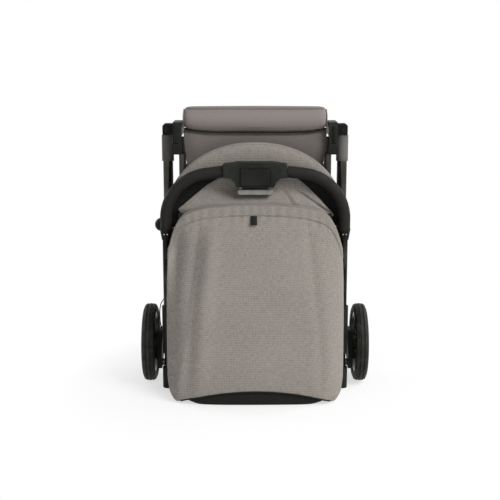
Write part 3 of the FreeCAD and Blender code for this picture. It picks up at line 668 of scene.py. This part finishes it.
def rear_bag():
    """The bag's front and sides in one cloth, its lid, binding, cords, stitches and pull tab."""
    kit = finishes()
    wall = bag_wall(0.0, 1.0, 120)
    hem = wall[:1] + np.array([0.0, 4.0, 0.5])
    edge = wall[-1]
    lid = []
    for share in (0.04, 0.12, 0.3, 0.55, 0.8, 1.0):
        row = edge.copy()
        row[:, 1] += (BAG_BACK + 1.5 - edge[:, 1]) * share
        row[:, 2] += 2.4 * math.sin(math.pi * min(share, 0.6)) * np.clip((edge[:, 2] - 290) / 60, 0, 1)
        lid.append(row)
    cloth = cloth_sheet("bag_cloth", np.concatenate([hem, wall, np.array(lid)]), kit["outer_cloth"], OUTER)

    left, right = wall[:, 0], wall[:, -1]
    across = np.linspace(0, 1, 9)[None, :, None]
    back = left[:, None] * (1 - across) + right[:, None] * across
    back[:, 1:-1, 1] += 1.0
    rear = cloth_sheet("bag_back", back, kit["lining_cloth"], LINING)

    band = bag_wall(1.0 - sizes().binding / BAG_RISE, 1.0, 12)
    tuck = band[:1].copy()
    band += outward(band) * 1.1
    over = band[-1:] + np.array([0.0, 3.0, 0.9])
    over2 = band[-1:] + np.array([0.0, 7.0, 1.4])
    folded = np.concatenate([tuck, band, over, over2])
    binding = cloth_sheet("bag_binding", folded, kit["binding_cloth"], BAND)
    stitched = seam("bag_stitches", band[1, 8:-8], kit["thread"])
    roll = cord_edge("bag_top_cord", band[-1] + np.array([0, 0.8, 0.1]), 0.8, kit["binding_cloth"])

    pieces = [cloth, rear, binding, stitched, roll, pull_tab(kit)]
    for piece in pieces:
        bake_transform(piece)
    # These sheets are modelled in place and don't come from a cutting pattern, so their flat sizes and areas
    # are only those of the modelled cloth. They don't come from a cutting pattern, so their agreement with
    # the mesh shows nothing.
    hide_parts("back_pocket", "pocket_base")


def pull_tab(kit):
    """A short webbing loop sewn over the middle of the bag's top seam."""
    middle = [(-2.6, y, z) for y, z in ((-93.5, 352), (-96.4, 350), (-99.6, 343), (-102.6, 336.6),
                                        (-103.6, 337.4), (-101.2, 344))]
    line = smooth_line(middle, 26)
    corners = np.array([(-6, -0.4, 0), (6, -0.4, 0), (6, 0.4, 0.3), (-6, 0.4, 0.3)])
    places = line[:, None] + corners
    faces = weave_faces(len(line), 4, around=True)
    return make("bag_pull_tab", places, faces, kit["black_webbing"])


# ---------------------------------------------------------------- the bag's black bottom
def bag_bottom():
    """The shallow wipe-clean tray under the bag, with its corded upper edge."""
    kit = finishes()
    levels = [(0.0, 114, -146), (0.1, 122, -157.5), (1.2, 128, -160), (4, 136, -161), (8, 143, -160.5),
              (14, 149, -159.5), (22, 153, -158.5), (32, 156, -157)]
    columns = 121
    rows = []
    for z, half, front in levels:
        ring = bag_ring(half, front, columns, back=-66)
        ring[:, 1] += np.clip(slack(ring[:, 0], np.full(columns, z)), 0, None)
        rows.append(np.column_stack([ring, np.full(columns, z)]))
    grid = np.array(rows)
    tray = make("bag_tray", grid, weave_faces(len(rows), columns) + [tuple(range(columns - 1, -1, -1))],
                kit["lining_cloth"])
    x = np.linspace(-141, 141, 90)
    front = bag_wall(0.0, 0.02, 2)[0]
    y = np.interp(x, front[:, 0], front[:, 1])
    line = np.column_stack([x, y - 0.2, bag_hem(x) - 0.6])
    ends = [line[0] + np.array([-4, 6, 0.4]), line[-1] + np.array([4, 6, 0.4])]
    line = np.vstack([ends[0], line, ends[1]])
    cord = cord_edge("bag_hem_cord", line, sizes().piping, kit["black_webbing"])
    for piece in (tray, cord):
        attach(piece, "back_frame")
    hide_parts("bag_bottom")


# ---------------------------------------------------------------- the flap under the handle
# The flap's side edges as share of the way up, x and z, and its depth by height.
FLAP_LEFT = [(0.0, -133, 341), (0.14, -149, 357.5), (0.45, -114, 386), (0.72, -92, 404), (0.86, -68, 418),
             (1.0, -58, 431)]
FLAP_RIGHT = [(0.0, 141, 336), (0.10, 152, 346.5), (0.45, 125, 376.5), (0.72, 100, 401), (0.86, 82, 416),
              (1.0, 66, 430)]
FLAP_DEPTH = [(333, -56.5), (360, -56), (369, -52.5), (378, -46.5), (386, -41.5), (395, -36.6), (431, -36.0)]


def rear_flap():
    """The slack tail of the hood, hanging below the handle and tucked behind the bag."""
    kit = finishes()
    rows, columns = 60, 110
    v = np.linspace(0, 1, rows)[:, None]
    u = np.linspace(0, 1, columns)[None]
    lv, lx, lz = zip(*FLAP_LEFT)
    rv, rx, rz = zip(*FLAP_RIGHT)
    x = np.interp(v, lv, lx) * (1 - u) + np.interp(v, rv, rx) * u
    z = np.interp(v, lv, lz) * (1 - u) + np.interp(v, rv, rz) * u
    z += 9 * np.sin(math.pi * u) * (1 - v) * np.clip(v / 0.2, 0, 1)
    y = np.interp(z, *zip(*FLAP_DEPTH))
    fullness = np.clip((z - 345) / 20, 0, 1) * np.clip((392 - z) / 22, 0, 1)
    y -= 3.0 * fullness * np.sin(math.pi * u) ** 0.6
    y += 9.0 * np.abs(2 * u - 1) ** 5 * np.clip((390 - z) / 30, 0, 1)
    down = (412 - z) / 62
    first, second = x - (40 + 45 * down), x - (52 + 92 * down)
    inside = np.clip((z - 340) / 12, 0, 1) * np.clip((398 - z) / 14, 0, 1)
    y += inside * (2.0 * np.exp(-(first / 5) ** 2) - 2.4 * np.exp(-((first - 11) / 9) ** 2)
                   + 4.4 * np.exp(-(second / 5) ** 2) - 1.5 * np.exp(-((second - 14) / 9) ** 2))
    y += inside * 0.9 * np.sin((x + 0.8 * z) / 13.0) * np.exp(-((x + 70) / 60) ** 2)
    grid = np.stack([x, y, z], 2)
    flap = cloth_sheet("hood_flap", grid, kit["outer_cloth"], OUTER)
    proud = np.array([0, -0.5, 0])
    hems = [cord_edge("flap_hem_left", grid[3:, 0], 0.9, kit["cloth_piping"], 6),
            cord_edge("flap_hem_right", grid[6:, -1], 0.9, kit["cloth_piping"], 6),
            seam("flap_stitches", grid[9:, 3] + proud, kit["thread"]),
            seam("flap_stitches_right", grid[9:, -4] + proud, kit["thread"])]
    for piece in [flap] + hems:
        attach(piece, "back_frame")


# ---------------------------------------------------------------- the hood
HOOD_FOOT, HOOD_HALF, HOOD_RISE = 323.0, 177.0, 162.0
HOOD_EDGE, HOOD_FIXED, HOOD_FRONT = -29.8, -27.4, -13.8  # depths: rolled edge, last fixed fold, front bow
BOW_HALF, BOW_CORNER, BOW_SHOULDER, BOW_SLOPE = 172.5, 95.0, 332.0, math.radians(8)


def hood_arch(count, wide=1.0, tall=1.0):
    """Places along the hood's arch, from the left pivot over to the right one, in x and z."""
    turn = np.linspace(0, math.pi, 600)
    x = -np.sign(np.cos(turn)) * np.abs(np.cos(turn)) ** (2 / 2.15) * HOOD_HALF
    z = np.abs(np.sin(turn)) ** (2 / 2.15) * HOOD_RISE
    arch = even(np.stack([x, z], 1), count)
    return np.stack([arch[:, 0] * wide, HOOD_FOOT + arch[:, 1] * tall], 1)


def inner_arch(outer, share):
    """The handle bow's own arch, times a share, at the bearings of the outer arch's places."""
    corner = np.linspace(0, math.pi / 2 - BOW_SLOPE, 60)
    x = BOW_HALF - BOW_CORNER + BOW_CORNER * np.cos(corner)
    z = BOW_SHOULDER + BOW_CORNER * np.sin(corner)
    x, z = np.append(np.insert(x, 0, BOW_HALF), 0.0), np.append(np.insert(z, 0, HOOD_FOOT), z[-1] + 4.5)
    bearing, reach = np.arctan2(z - HOOD_FOOT, x), np.hypot(x, z - HOOD_FOOT)
    own = np.arctan2(outer[:, 1] - HOOD_FOOT, np.abs(outer[:, 0]))
    far = np.interp(own, bearing, reach) * share
    return np.stack([np.sign(outer[:, 0]) * far * np.cos(own), HOOD_FOOT + far * np.sin(own)], 1)


def hood():
    """Rear band, rolled edge, folds and the sheet that opens out to the front bow, in one cloth."""
    kit = finishes()
    size = sizes()
    profile = [(1.0, 1.0, -31.6), (0.992, 0.992, HOOD_EDGE)]
    for k in range(1, 13):
        share = k / 12
        fold = size.pleat / 170 * math.sin(share * 3 * math.pi)
        profile.append((0.99 - 0.235 * share + fold, 0.99 - 0.12 * share + fold,
                        HOOD_EDGE + (HOOD_FIXED - HOOD_EDGE) * share))
    for k in range(1, 17):
        share = k / 16
        turn = 0.5 - math.sin(math.asin(1 - 2 * share) / 3)
        fold = 0.45 * size.pleat / 134 * math.sin(share * 3 * math.pi) ** 2
        profile.append((0.742 - fold, 0.845 - fold, HOOD_FIXED + (HOOD_FRONT - HOOD_FIXED) * turn))
    count = 121
    outer = hood_arch(count)
    rows = []
    for share, depth in ((-0.06, -33.4), (0.0, -34.8), (0.16, -35.8), (0.40, -36.6), (0.66, -36.6),
                         (0.85, -35.8), (0.95, -34.2), (0.99, -32.8)):
        ring = inner_arch(outer, 0.985) * (1 - share) + outer * share
        rows.append(np.column_stack([ring[:, 0], np.full(count, depth), ring[:, 1]]))
    for wide, tall, depth in profile:
        arch = hood_arch(count, wide, tall)
        rows.append(np.column_stack([arch[:, 0], np.full(count, depth), arch[:, 1]]))
    grid = np.array(rows)
    along = np.linspace(0, 1, count)
    grid[2:6, :, 1] -= (0.4 * np.sin(along * 23) * np.sin(along * math.pi))[None]
    cover = cloth_sheet("hood_cloth", grid, kit["outer_cloth"], BAND)
    rim = cord_edge("hood_rim_cord", grid[8], size.piping * 0.7, kit["cloth_piping"])
    front = cord_edge("hood_front_cord", grid[-1], size.piping * 1.3, kit["black_webbing"])
    stitched = seam("hood_stitches", grid[6] + np.array([0, -0.6, 0]), kit["thread"])
    for piece in (cover, rim, front, stitched):
        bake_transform(piece)

    rings = []
    for share in (1.0, 0.97, 0.9, 0.75, 0.5, 0.25, 0.02):
        ring = inner_arch(hood_arch(61), 0.975)
        z = HOOD_FOOT + (ring[:, 1] - HOOD_FOOT) * share
        rings.append(np.column_stack([ring[:, 0] * share, np.full(61, -34.0 + 3.0 * (1 - share ** 2)), z]))
    net = cloth_sheet("hood_window", np.array(rings), kit["window_net"], NET)
    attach(net, "back_frame")
    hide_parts("canopy_folded")


# ---------------------------------------------------------------- cushions
def prism(name, section, half, columns, material, sag=0.0):
    """A closed bolster: a section in depth and height, run from side to side with softened ends."""
    loop = smooth_line(section, 48, closed=True)[:-1]
    middle = loop.mean(0)
    ends = np.linspace(-1, 1, columns)
    places = []
    for e in ends:
        shrink = 1 - 0.14 * max(0.0, (abs(e) - 0.86) / 0.14) ** 2.5
        ring = middle + (loop - middle) * shrink
        under = np.clip((middle[1] - ring[:, 1]) / 24, 0, 1)
        ring = ring + np.column_stack([np.zeros(len(ring)), sag * abs(e) ** 5 * under])
        places.append(np.column_stack([np.full(len(ring), e * half), ring]))
    count = len(loop)
    faces = weave_faces(columns, count, around=True)
    faces += [tuple(range(count)), tuple(range((columns - 1) * count, columns * count))[::-1]]
    return make(name, np.array(places), faces, material)


def stuff(piece, pressure, cap, box, voxel=5.0):
    """Fills a cover: evens its mesh, presses it out from inside, and holds it within a box."""
    evened = piece.modifiers.new("Even", "REMESH")
    evened.mode = "VOXEL"
    evened.voxel_size = voxel * MM
    settle(piece)
    start = cloth_places(piece)
    scene = bpy.context.scene
    cover = piece.modifiers.new("Stuffing", "CLOTH")
    cover.settings.quality = 6
    cover.settings.use_pressure = True
    cover.settings.uniform_pressure_force = pressure
    cover.settings.effector_weights.gravity = 0
    cover.settings.tension_stiffness = 12
    cover.settings.bending_stiffness = 0.4
    cover.point_cache.frame_start = 1
    cover.point_cache.frame_end = STUFFING_STEPS
    for step in range(1, STUFFING_STEPS + 1):
        scene.frame_set(step)
    settle(piece)
    scene.frame_set(1)
    moved = cloth_places(piece) - start
    far = np.linalg.norm(moved, axis=1)[:, None] + TINY
    places = start + moved * np.minimum(1, cap / far)
    low, high = np.array(box[0], float), np.array(box[1], float)
    set_cloth_places(piece, np.clip(places, low, high))
    refine(piece)
    return piece


def cloth_places(piece):
    """A piece's places, in millimetres from the axle line."""
    coords = np.zeros(len(piece.data.vertices) * 3)
    piece.data.vertices.foreach_get("co", coords)
    coords = coords.reshape(-1, 3) / MM
    coords[:, 1] -= AXLE
    return coords


def set_cloth_places(piece, places):
    """Moves a piece's places, in millimetres from the axle line."""
    coords = np.array(places, float) * MM
    coords[:, 1] += AXLE * MM
    piece.data.vertices.foreach_set("co", coords.ravel())
    piece.data.update()


def touch(piece, start, way):
    """Where a ray meets a piece, in millimetres from the axle line; an empty list if it misses."""
    hit, place, _, _ = piece.ray_cast(start, way)
    return [(place.x / MM, place.y / MM - AXLE, place.z / MM)] if hit else []


def laid_on(piece, line, outside):
    """The line pushed along the way from outside until it meets the piece's cover."""
    way = -Vector(outside).normalized()
    found = []
    for p in line:
        start = Vector(spot(*p)) - way * 0.2
        found += touch(piece, start, way)
    return np.array(found)


def girdle(piece, side, inset, middle, count=72):
    """A loop round a bolster's cover, an inset in from the end on that side."""
    x = side * (np.abs(cloth_places(piece)[:, 0]).max() - inset)
    found = []
    for turn in np.linspace(0, 2 * math.pi, count, endpoint=False):
        way = Vector((0, math.cos(turn), math.sin(turn)))
        start = Vector(spot(x, *middle)) + way * 0.3
        found += touch(piece, start, -way)
    return np.array(found)


def sew_in(piece, line, depth, reach):
    """Draws the cover in along a seam."""
    places = cloth_places(piece)
    normals = np.zeros(len(places) * 3)
    piece.data.vertices.foreach_get("normal", normals)
    normals = normals.reshape(-1, 3)
    for first in range(0, len(places), 4000):
        block = slice(first, first + 4000)
        away = np.linalg.norm(places[block, None] - line[None], axis=2).min(1)
        places[block] -= normals[block] * (depth * np.exp(-(away / reach) ** 2))[:, None]
    set_cloth_places(piece, places)


def calf_bolster():
    """The rolled end of the seat, above the knees."""
    kit = finishes()
    section = [(4, 502.5), (13, 503), (23, 504), (33, 513), (36, 530), (30, 543), (14, 551.5), (-3, 551),
               (-14, 546), (-20.5, 536), (-20.5, 525), (-15.5, 512.5), (-6, 504)]
    bolster = prism("calf_bolster", section, 139.5, 60, kit["seat_cloth"], sag=7.0)
    stuff(bolster, 5.0, min(7.0, sizes().puff), ((-141.5, -24.0, 500.5), (141.5, 41.0, 556.0)), 4.5)
    seams = []
    for side in (-1, 1):
        loop = girdle(bolster, side, 2.5, (8, 527))
        sew_in(bolster, loop, 1.5, 4.0)
        seams.append(cord_edge(f"bolster_cord_{'left' if side < 0 else 'right'}", loop, 0.9,
                               kit["seat_piping"], closed=True))
    # A dark cord along the crease under the bolster: painted shadow where the bolster overhangs the skirt.
    x = np.linspace(-139, 139, 120)
    under = np.column_stack([x, np.full(120, -9.0), 502.5 + 8.5 * np.abs(x / 139) ** 5])
    seams.append(cord_edge("bolster_crease_shadow_cord", under, 1.3, kit["lining_cloth"]))
    x = np.linspace(-132, 132, 120)
    top = laid_on(bolster, np.column_stack([x, np.full(120, -60), np.full(120, 548.5)]), (0, -1, 0))
    sew_in(bolster, top, 1.2, 3.0)
    seams.append(cord_edge("bolster_top_cord", top, 0.7, kit["seat_piping"], 6))
    for piece in [bolster] + seams:
        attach(piece, "legrest")
    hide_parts("legrest_bolster")

    x = np.linspace(-1, 1, 61)
    rows = []
    for z, depth, half in ((422, -9.2, 131), (440, -9.8, 133), (458, -9.9, 136), (472, -9.6, 138),
                           (484, -8.4, 139), (492, -6.4, 139.5), (498, -3.6, 139.5), (503, 0.5, 139),
                           (505, 4.0, 138)):
        y = depth + 1.4 * np.abs(x) ** 6 - 2.5 * np.exp(-((np.abs(x) - 0.86) / 0.1) ** 2) * (z > 465)
        rows.append(np.column_stack([x * half, y, z + 7 * np.abs(x) ** 8 * (z - 422) / 83]))
    # The skirt takes the darkened seat cloth: painted shade under the calf bolster.
    skirt = cloth_sheet("seat_skirt", np.array(rows), kit["seat_panel"], OUTER)
    refine(skirt)
    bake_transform(skirt)


def seat_cushion():
    """The padded seat, standing on end when folded, with two long seams and a slot for the strap."""
    kit = finishes()
    section = [(-5.0, 150), (-1.5, 137), (6, 134), (11.5, 138), (12.0, 200), (12.0, 330), (12.0, 462),
               (7, 470), (-2, 469), (-5.0, 460), (-5.0, 380), (-5.0, 250)]
    cushion = prism("seat_pad", section, 131, 54, kit["seat_cloth"])
    stuff(cushion, 3.0, min(3.6, sizes().puff), ((-135.2, -8.4, 131), (135.2, 14.8, 475)))
    z = np.linspace(165, 455, 100)
    seams = []
    for x, word in ((-62, "left"), (62, "right")):
        bowed = x + 10 * ((z - 300) / 150) ** 2 * np.sign(x)
        line = laid_on(cushion, np.column_stack([bowed, np.full(100, -60), z]), (0, -1, 0))
        sew_in(cushion, line, 1.6, 4.0)
        seams.append(seam(f"seat_stitches_{word}", line + np.array([0, -0.2, 0]), kit["seat_thread"]))
    loops = [girdle(cushion, side, 2.5, (4, 300), 200) for side in (-1, 1)]
    for loop, word in zip(loops, ("left", "right")):
        seams.append(cord_edge(f"seat_cord_{word}", loop, sizes().piping * 0.8, kit["seat_piping"],
                               closed=True))
    strap_line = smooth_line([(0, -5.5, 236), (0, -8.6, 246), (0, -9.4, 262), (0, -9.6, 290)], 30)
    strap = cord_edge("crotch_strap", strap_line, 11.0, kit["black_webbing"], 12, flat=0.09)
    buckle = moulded_block("crotch_buckle", (0, -10.6, 300), (17, 3.2, 20), kit["black_moulding"])
    for piece in [cushion, strap, buckle] + seams:
        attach(piece, "seat")
    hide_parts("seat_cushion")


def moulded_block(name, middle, half, material):
    """A small moulding with rounded corners."""
    data = bmesh.new()
    bmesh.ops.create_cube(data, size=2.0)
    for v in data.verts:
        v.co = v.co * Vector(half) * MM + Vector(spot(*middle))
    bmesh.ops.bevel(data, geom=list(data.edges), offset=min(half) * 0.55 * MM, segments=3, profile=0.6,
                    affect="EDGES")
    mesh = bpy.data.meshes.new(name)
    data.to_mesh(mesh)
    data.free()
    return place_mesh(name, mesh, material)


def backrest_pad():
    """The padded backrest between the uprights, with sewn channels and the shoulder straps."""
    kit = finishes()
    section = [(-58.5, 146), (-50, 141), (-42, 144), (-39, 158), (-38.5, 240), (-39, 318), (-44, 330),
               (-52, 332), (-58.5, 327), (-58.8, 240)]
    pad = prism("backrest_pad", section, 126, 52, kit["seat_cloth"])
    stuff(pad, 3.5, min(4.5, sizes().puff), ((-131, -59.8, 138), (131, -33.5, 335)))
    seams = []
    z = np.linspace(156, 318, 60)
    for k, x in enumerate((-66, 0, 66)):
        line = laid_on(pad, np.column_stack([np.full(60, x), np.full(60, 60), z]), (0, 1, 0))
        sew_in(pad, line, 1.8, 5.0)
        seams.append(seam(f"back_stitches_{k}", line + np.array([0, 0.25, 0]), kit["seat_thread"],
                          (0, 0.3, 0)))
    straps = []
    for x, word in ((-38, "left"), (38, "right")):
        path = [(x * 0.92, -37.5, 322), (x, -32.6, 312), (x * 1.02, -32.0, 270), (x * 1.1, -32.2, 220),
                (x * 1.2, -33.4, 186)]
        straps.append(cord_edge(f"shoulder_strap_{word}", smooth_line(path, 50), 12.0,
                                kit["black_webbing"], 12, flat=0.08))
        straps.append(moulded_block(f"strap_buckle_{word}", (x * 1.13, -31.2, 208), (14, 1.8, 8),
                                    kit["black_moulding"]))
    for piece in [pad] + seams + straps:
        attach(piece, "backrest")


# ---------------------------------------------------------------- finishes on the packed frame
def dress(finish, *names):
    """Gives packed pieces a finish."""
    for name in names:
        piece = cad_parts[name]
        for slot in piece.material_slots:
            slot.material = finish


def both(*names):
    """The left and the right piece of each name."""
    return [f"{name}_{side}" for name in names for side in ("left", "right")]


def dress_frame():
    """Paint on the tubes and grain on the mouldings, joints and locks."""
    kit = finishes()
    dress(kit["handle_paint"], *both("handle_tube"))
    dress(kit["frame_paint"], *both("rear_leg", "upright", "front_leg", "seat_rail"), "inner_legs",
          "rear_axle_tube", "back_crossbar", "front_crossbar", "canopy_bow")
    dress(kit["black_moulding"], *both("hub_bracket", "seat_joint", "knee_block"), "knee_clevises",
          "tube_feet", "brake_pedal", "storage_latch")
    dress(kit["sleeve_moulding"], "leg_sleeves")
    dress(kit["board_moulding"], "seat_board", "backrest_board", "legrest_board")
    dress(kit["turned_steel"], "wheel_axles", "canopy_pins", "recline_rod", "legrest_rod")


def knee_trims():
    """The ribbed cover over each knee joint and the brake cable beside the left rear leg."""
    kit = finishes()
    for side, word in ((-1, "left"), (1, "right")):
        for shape, middle, half in (("rib", (153.5, -27.0, 500), (3.2, 2.2, 17)),
                                    ("drum", (151.5, -27.5, 472), (10.0, 3.5, 10.5))):
            place = (side * middle[0],) + middle[1:]
            piece = moulded_block(f"knee_{shape}_{word}", place, half, kit["black_moulding"])
            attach(piece, "back_frame")
    run = [(-183.2, 35, 163), (-188, 35, 157), (-193, 35.5, 148), (-195.6, 36, 134), (-195, 34, 112),
           (-192, 30, 97)]
    cable = cord_edge("brake_cable", smooth_line(run, 40), 1.0, kit["black_moulding"])
    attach(cable, "rear_frame")


def dress_wheels():
    """Rubber on the tyres and a glossy grain on the rims, forks and caps."""
    kit = finishes()
    dress(kit["rear_tread"], *both("rear_tyre"))
    dress(kit["front_tread"], *both("front_tyre"))
    dress(kit["wheel_moulding"], *both("rear_rim", "rear_cap", "front_rim"))
    dress(kit["black_moulding"], *both("caster_fork"), "caster_housings")


def dress_handle():
    """Foam on the grips and fine mouldings on the housing, button and lever."""
    kit = finishes()
    dress(kit["handle_paint"], "handle_bow")
    dress(kit["grip_foam"], *both("handle_grip"))
    dress(kit["black_moulding"], "grip_collars")
    dress(kit["housing_moulding"], "handle_housing")
    dress(kit["button_moulding"], "fold_button")
    dress(kit["lever_moulding"], "squeeze_lever")
    dress(kit["screw_heads"], "housing_screws")


# ---------------------------------------------------------------- stage
SKY_LIGHT = 0.21  # the world's strength on the rays that light things
LENS, CAMERA_PLACE, CAMERA_TILT = 71.7, (-10, -1950, 660), 11.37


def stage():
    """A pale floor, soft lamps and the camera behind the pushchair."""
    pale = Finish("pale_floor", 0.7, specular=0.1)
    grain = pale.noise(pale.place, 2.0, 2.0)
    pale.colour(pale.blend(grain, (0.95, 0.95, 0.95, 1), (0.97, 0.97, 0.97, 1)))
    away = pale.work("SQRT", pale.plus(pale.times(pale.x, pale.x), pale.times(pale.y, pale.y)))
    white = pale.add("Emission")
    white.inputs["Color"].default_value = (1, 1, 1, 1)
    white.inputs["Strength"].default_value = 1.0
    mix = pale.add("MixShader")
    pale.feed(mix.inputs[0], pale.times(pale.seen(), pale.fit(away, 0.14, 0.40, 0.55, 1.0)))
    pale.link(pale.shader.outputs[0], mix.inputs[1])
    pale.link(white.outputs[0], mix.inputs[2])
    pale.link(mix.outputs[0], pale.output.inputs["Surface"])
    corners = [(-6000, -6000, 0), (6000, -6000, 0), (6000, 9000, 0), (-6000, 9000, 0)]
    floor = make("floor", corners, [(0, 1, 2, 3)], pale.material, smooth=False)
    world = bpy.context.scene.world or bpy.data.worlds.new("studio")
    bpy.context.scene.world = world
    world.use_nodes = True
    sky = Nodes(world.node_tree)
    background = sky.tree.nodes["Background"]
    background.inputs[0].default_value = (1, 1, 1, 1)
    sky.link(sky.fit(sky.seen(), 0.0, 1.0, SKY_LIGHT), background.inputs[1])
    for name, place, aim, width, power in (
            ("key_lamp", (1700, -1650, 2200), (0, 0, 250), 1500, 88),
            ("fill_lamp", (-300, -2400, 1000), (0, 0, 250), 1400, 5),
            ("rim_lamp_left", (-1700, 900, 1100), (0, 0, 300), 900, 10),
            ("rim_lamp_right", (1700, 500, 1100), (0, 0, 300), 900, 10)):
        light = bpy.data.lights.new(name, "AREA")
        light.size, light.energy = width * MM, power
        lamp = bpy.data.objects.new(name, light)
        lamp.location = spot(*place)
        lamp.rotation_euler = (Vector(spot(*aim)) - lamp.location).to_track_quat("-Z", "Y").to_euler()
        bpy.context.scene.collection.objects.link(lamp)
    lens = bpy.data.cameras.new("camera")
    lens.sensor_width, lens.lens = 36.0, LENS
    camera = bpy.data.objects.new("camera", lens)
    camera.location = spot(*CAMERA_PLACE)
    camera.rotation_euler = (math.radians(90 - CAMERA_TILT), 0, 0)
    bpy.context.scene.collection.objects.link(camera)
    bpy.context.scene.camera = camera
    bpy.context.scene.view_settings.view_transform = "Standard"


# ---------------------------------------------------------------- operators and panel
def operator(word, label, maker):
    """An operator class that runs one maker."""
    def execute(self, context):
        maker()
        return {"FINISHED"}
    return type(f"PUSHCHAIR_OT_{word}", (bpy.types.Operator,),
                {"bl_idname": f"pushchair.{word}", "bl_label": label, "__doc__": maker.__doc__,
                 "execute": execute})


MAKERS = (("frame_finish", "Finish frame", dress_frame), ("wheels_finish", "Finish wheels", dress_wheels),
          ("knee_trims", "Add knee covers and cable", knee_trims),
          ("handle_finish", "Finish handle", dress_handle), ("rear_bag", "Sew rear bag", rear_bag),
          ("bag_bottom", "Make bag bottom", bag_bottom), ("rear_flap", "Sew rear flap", rear_flap),
          ("hood", "Sew hood", hood), ("calf_bolster", "Stuff calf bolster", calf_bolster),
          ("seat_cushion", "Stuff seat cushion", seat_cushion),
          ("backrest_pad", "Stuff backrest", backrest_pad),
          ("stage", "Set stage", stage))
OPERATORS = tuple(operator(*row) for row in MAKERS)


class PUSHCHAIR_PT_makers(bpy.types.Panel):
    """Lists the pushchair's makers, sizes and colours in the sidebar."""
    bl_idname = "PUSHCHAIR_PT_makers"
    bl_label = "Pushchair"
    bl_space_type = "VIEW_3D"
    bl_region_type = "UI"
    bl_category = "Pushchair"

    def draw(self, context):
        """Buttons for the makers, then every size and colour."""
        for kind in OPERATORS:
            self.layout.operator(kind.bl_idname)
        for group in (context.scene.pushchair_sizes, context.scene.pushchair_colours):
            for name in group.__annotations__:
                self.layout.prop(group, name)


CLASSES = (PushchairSizes, PushchairColours) + OPERATORS + (PUSHCHAIR_PT_makers,)


def register():
    """Adds the classes, and the sizes and colours, to Blender."""
    for kind in CLASSES:
        bpy.utils.register_class(kind)
    bpy.types.Scene.pushchair_sizes = PointerProperty(type=PushchairSizes)
    bpy.types.Scene.pushchair_colours = PointerProperty(type=PushchairColours)


def unregister():
    """Takes them away again."""
    del bpy.types.Scene.pushchair_sizes
    del bpy.types.Scene.pushchair_colours
    for kind in reversed(CLASSES):
        bpy.utils.unregister_class(kind)


def main():
    """Runs every maker in order and writes the boxes before and after."""
    register()
    for word, _, _ in MAKERS:
        getattr(bpy.ops.pushchair, word)()


if __name__ == "__main__":
    main()
